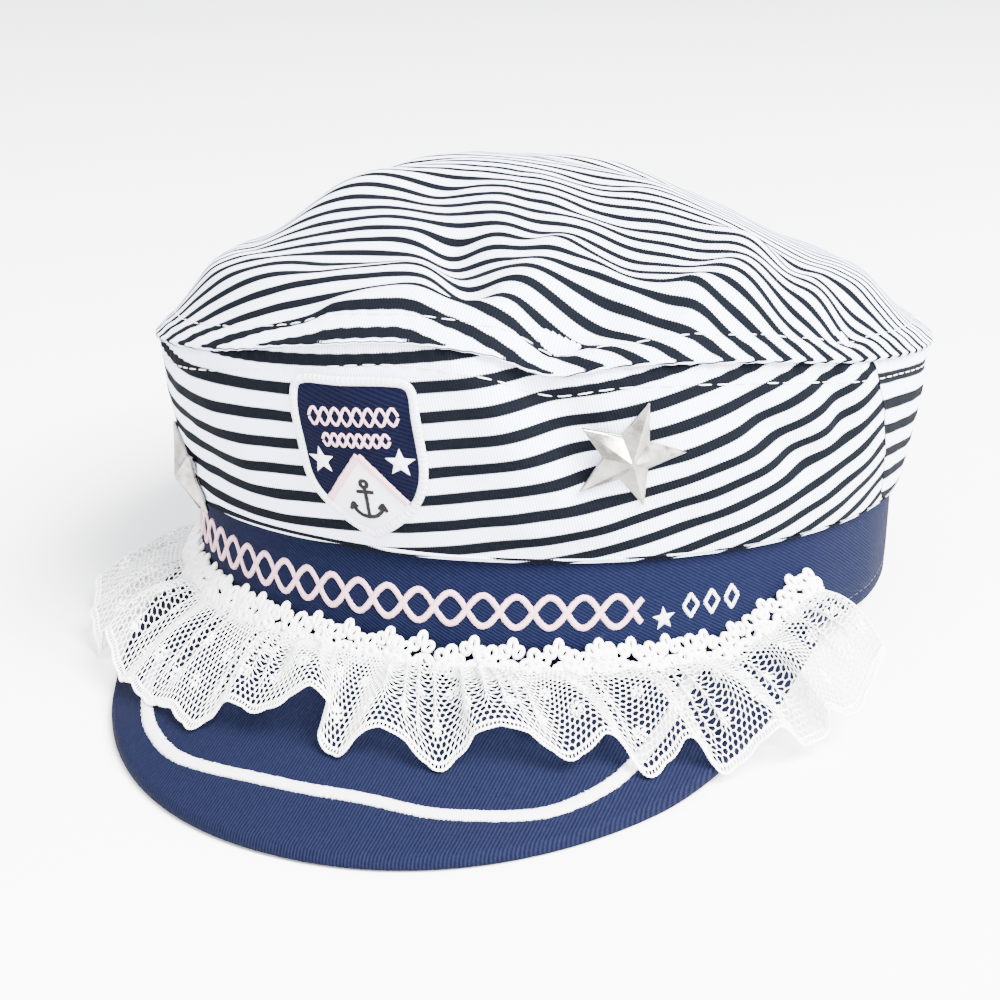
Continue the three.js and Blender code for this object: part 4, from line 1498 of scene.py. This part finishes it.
def lace_trim():
    """Two wavy cords and an edge cord with a row of roses, sprigs and knots."""
    trim = Trim()
    batch = Batch()
    draw = np.random.default_rng(31)
    total = trim.length[-1]
    count = int(total / TRIM_PITCH)
    pitch = total / count

    def cord(flat, lift, radius, closed=False):
        places, faces = trim.lay(flat, lift)
        tube(batch, places, radius, closed, 1.0, faces)

    for sign in (-1, 1):
        x = np.linspace(0.2, total - 0.2, 1400)
        y = -0.5 + sign * 0.85 * np.sin(2 * math.pi * x / pitch * 1.5 + sign)
        cord(np.column_stack([x, y]), 0.1 * sign, 0.5 * (1 + 0.14 * np.sin(x * 2 * math.pi / 0.8)))
    x = np.linspace(0.2, total - 0.2, 1800)
    cord(np.column_stack([x, -2.2 - 0.55 * np.abs(np.sin(math.pi * x / 2.2))]), -0.2, 0.3)
    for k in range(count):
        centre = (k + 0.5) * pitch + draw.uniform(-1.3, 1.3)
        size = draw.uniform(0.85, 1.2)
        spin = draw.uniform(0, 2 * math.pi)
        middle = np.array([centre, 0.15 + draw.uniform(-0.5, 0.7)])
        for petal in range(5):
            turn = spin + petal * 2 * math.pi / 5 + draw.uniform(-0.12, 0.12)
            at = middle + size * np.array([1.95 * math.cos(turn), 1.9 * math.sin(turn)])
            loop = closed_loop(at, 1.15 * size, 0.95 * size, turn)
            spread = np.hypot(loop[:, 0] - middle[0], loop[:, 1] - middle[1])
            cord(loop, 0.75 - 0.16 * spread + draw.uniform(0, 0.2), 0.60, True)
        coil = np.linspace(0, 3.2 * math.pi, 26)
        reach = (0.15 + 0.11 * coil / 1.6)[:, None]
        swirl = middle + reach * np.column_stack([np.cos(coil + spin), np.sin(coil + spin)])
        cord(swirl, 1.15 - 0.05 * coil, 0.30)
        leaf_x = centre + pitch / 2
        if leaf_x < total - 2:
            lean_side = draw.uniform(-0.35, 0.35)
            for turn, reach, long in ((2.25, 2.3, 1.05), (1.55, 2.95, 1.2), (0.85, 2.3, 1.05)):
                turn += lean_side * 0.5 + draw.uniform(-0.1, 0.1)
                at = (leaf_x + reach * math.cos(turn), 0.35 + reach * math.sin(turn))
                cord(closed_loop(at, long, 0.72, turn), 0.35 + draw.uniform(-0.1, 0.3), 0.54, True)
            cord(closed_loop((leaf_x, -0.9), 0.9, 0.7, draw.uniform(0, 3), 10), 0.3, 0.42, True)
    piece = batch.build("lace_rose_trim", LACE_COTTON)
    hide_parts("lace_braid")
    return piece


ruffle = Ruffle()
net_piece = ruffle_net(ruffle)
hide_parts("lace_ruffle")
lace_details = ruffle_details(ruffle)
trim_piece = lace_trim()
for piece in [net_piece, trim_piece] + lace_details:
    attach(piece, "root")

# Camera, floor and light
CAMERA_TARGET = (-11.2 + SHIFT_X, -5.0 + SHIFT_Y, 20.1)


def place_object(name, data, place, direction):
    """Puts a camera or light at a place in metres, looking along a direction."""
    thing = bpy.data.objects.new(name, data)
    thing.location = place
    thing.rotation_mode = "QUATERNION"
    thing.rotation_quaternion = direction.to_track_quat("-Z", "Y")
    bpy.context.scene.collection.objects.link(thing)
    return thing


def camera():
    back = Vector((
        math.sin(CAMERA_AZIMUTH) * math.cos(CAMERA_HEIGHT),
        -math.cos(CAMERA_AZIMUTH) * math.cos(CAMERA_HEIGHT),
        math.sin(CAMERA_HEIGHT),
    ))
    data = bpy.data.cameras.new("camera")
    data.sensor_width = SENSOR
    data.lens = CAMERA_FOCAL_PIXELS * SENSOR / PHOTO_SIDE
    place = (Vector(CAMERA_TARGET) + back * CAMERA_DISTANCE) * MM
    bpy.context.scene.camera = place_object("camera", data, place, -back)


def floor():
    points = [(x * FLOOR_HALF, y * FLOOR_HALF, 0) for x, y in ((-1, -1), (1, -1), (1, 1), (-1, 1))]
    new_object("floor", points, [(0, 1, 2, 3)], pale_floor())


def area_light(name, place, size, power, colour):
    """A soft box aimed at the cap."""
    data = bpy.data.lights.new(name, "AREA")
    data.shape = "RECTANGLE"
    data.size, data.size_y = size
    data.energy = power
    data.color = colour
    place_object(name, data, place, Vector(LIGHT_TARGET) - Vector(place))


def lights():
    world = bpy.data.worlds.new("studio")
    world.use_nodes = True
    background = world.node_tree.nodes["Background"]
    background.inputs[0].default_value = (0.93, 0.95, 1.0, 1)
    background.inputs[1].default_value = SKY_POWER
    bpy.context.scene.world = world
    area_light("key", (1.3, -0.5, 1.6), (1.1, 1.1), 520, (1.0, 1.0, 0.99))
    area_light("front", (-0.1, -1.7, 1.3), (1.6, 1.2), 50, (1.0, 1.0, 1.0))


camera()
floor()
lights()
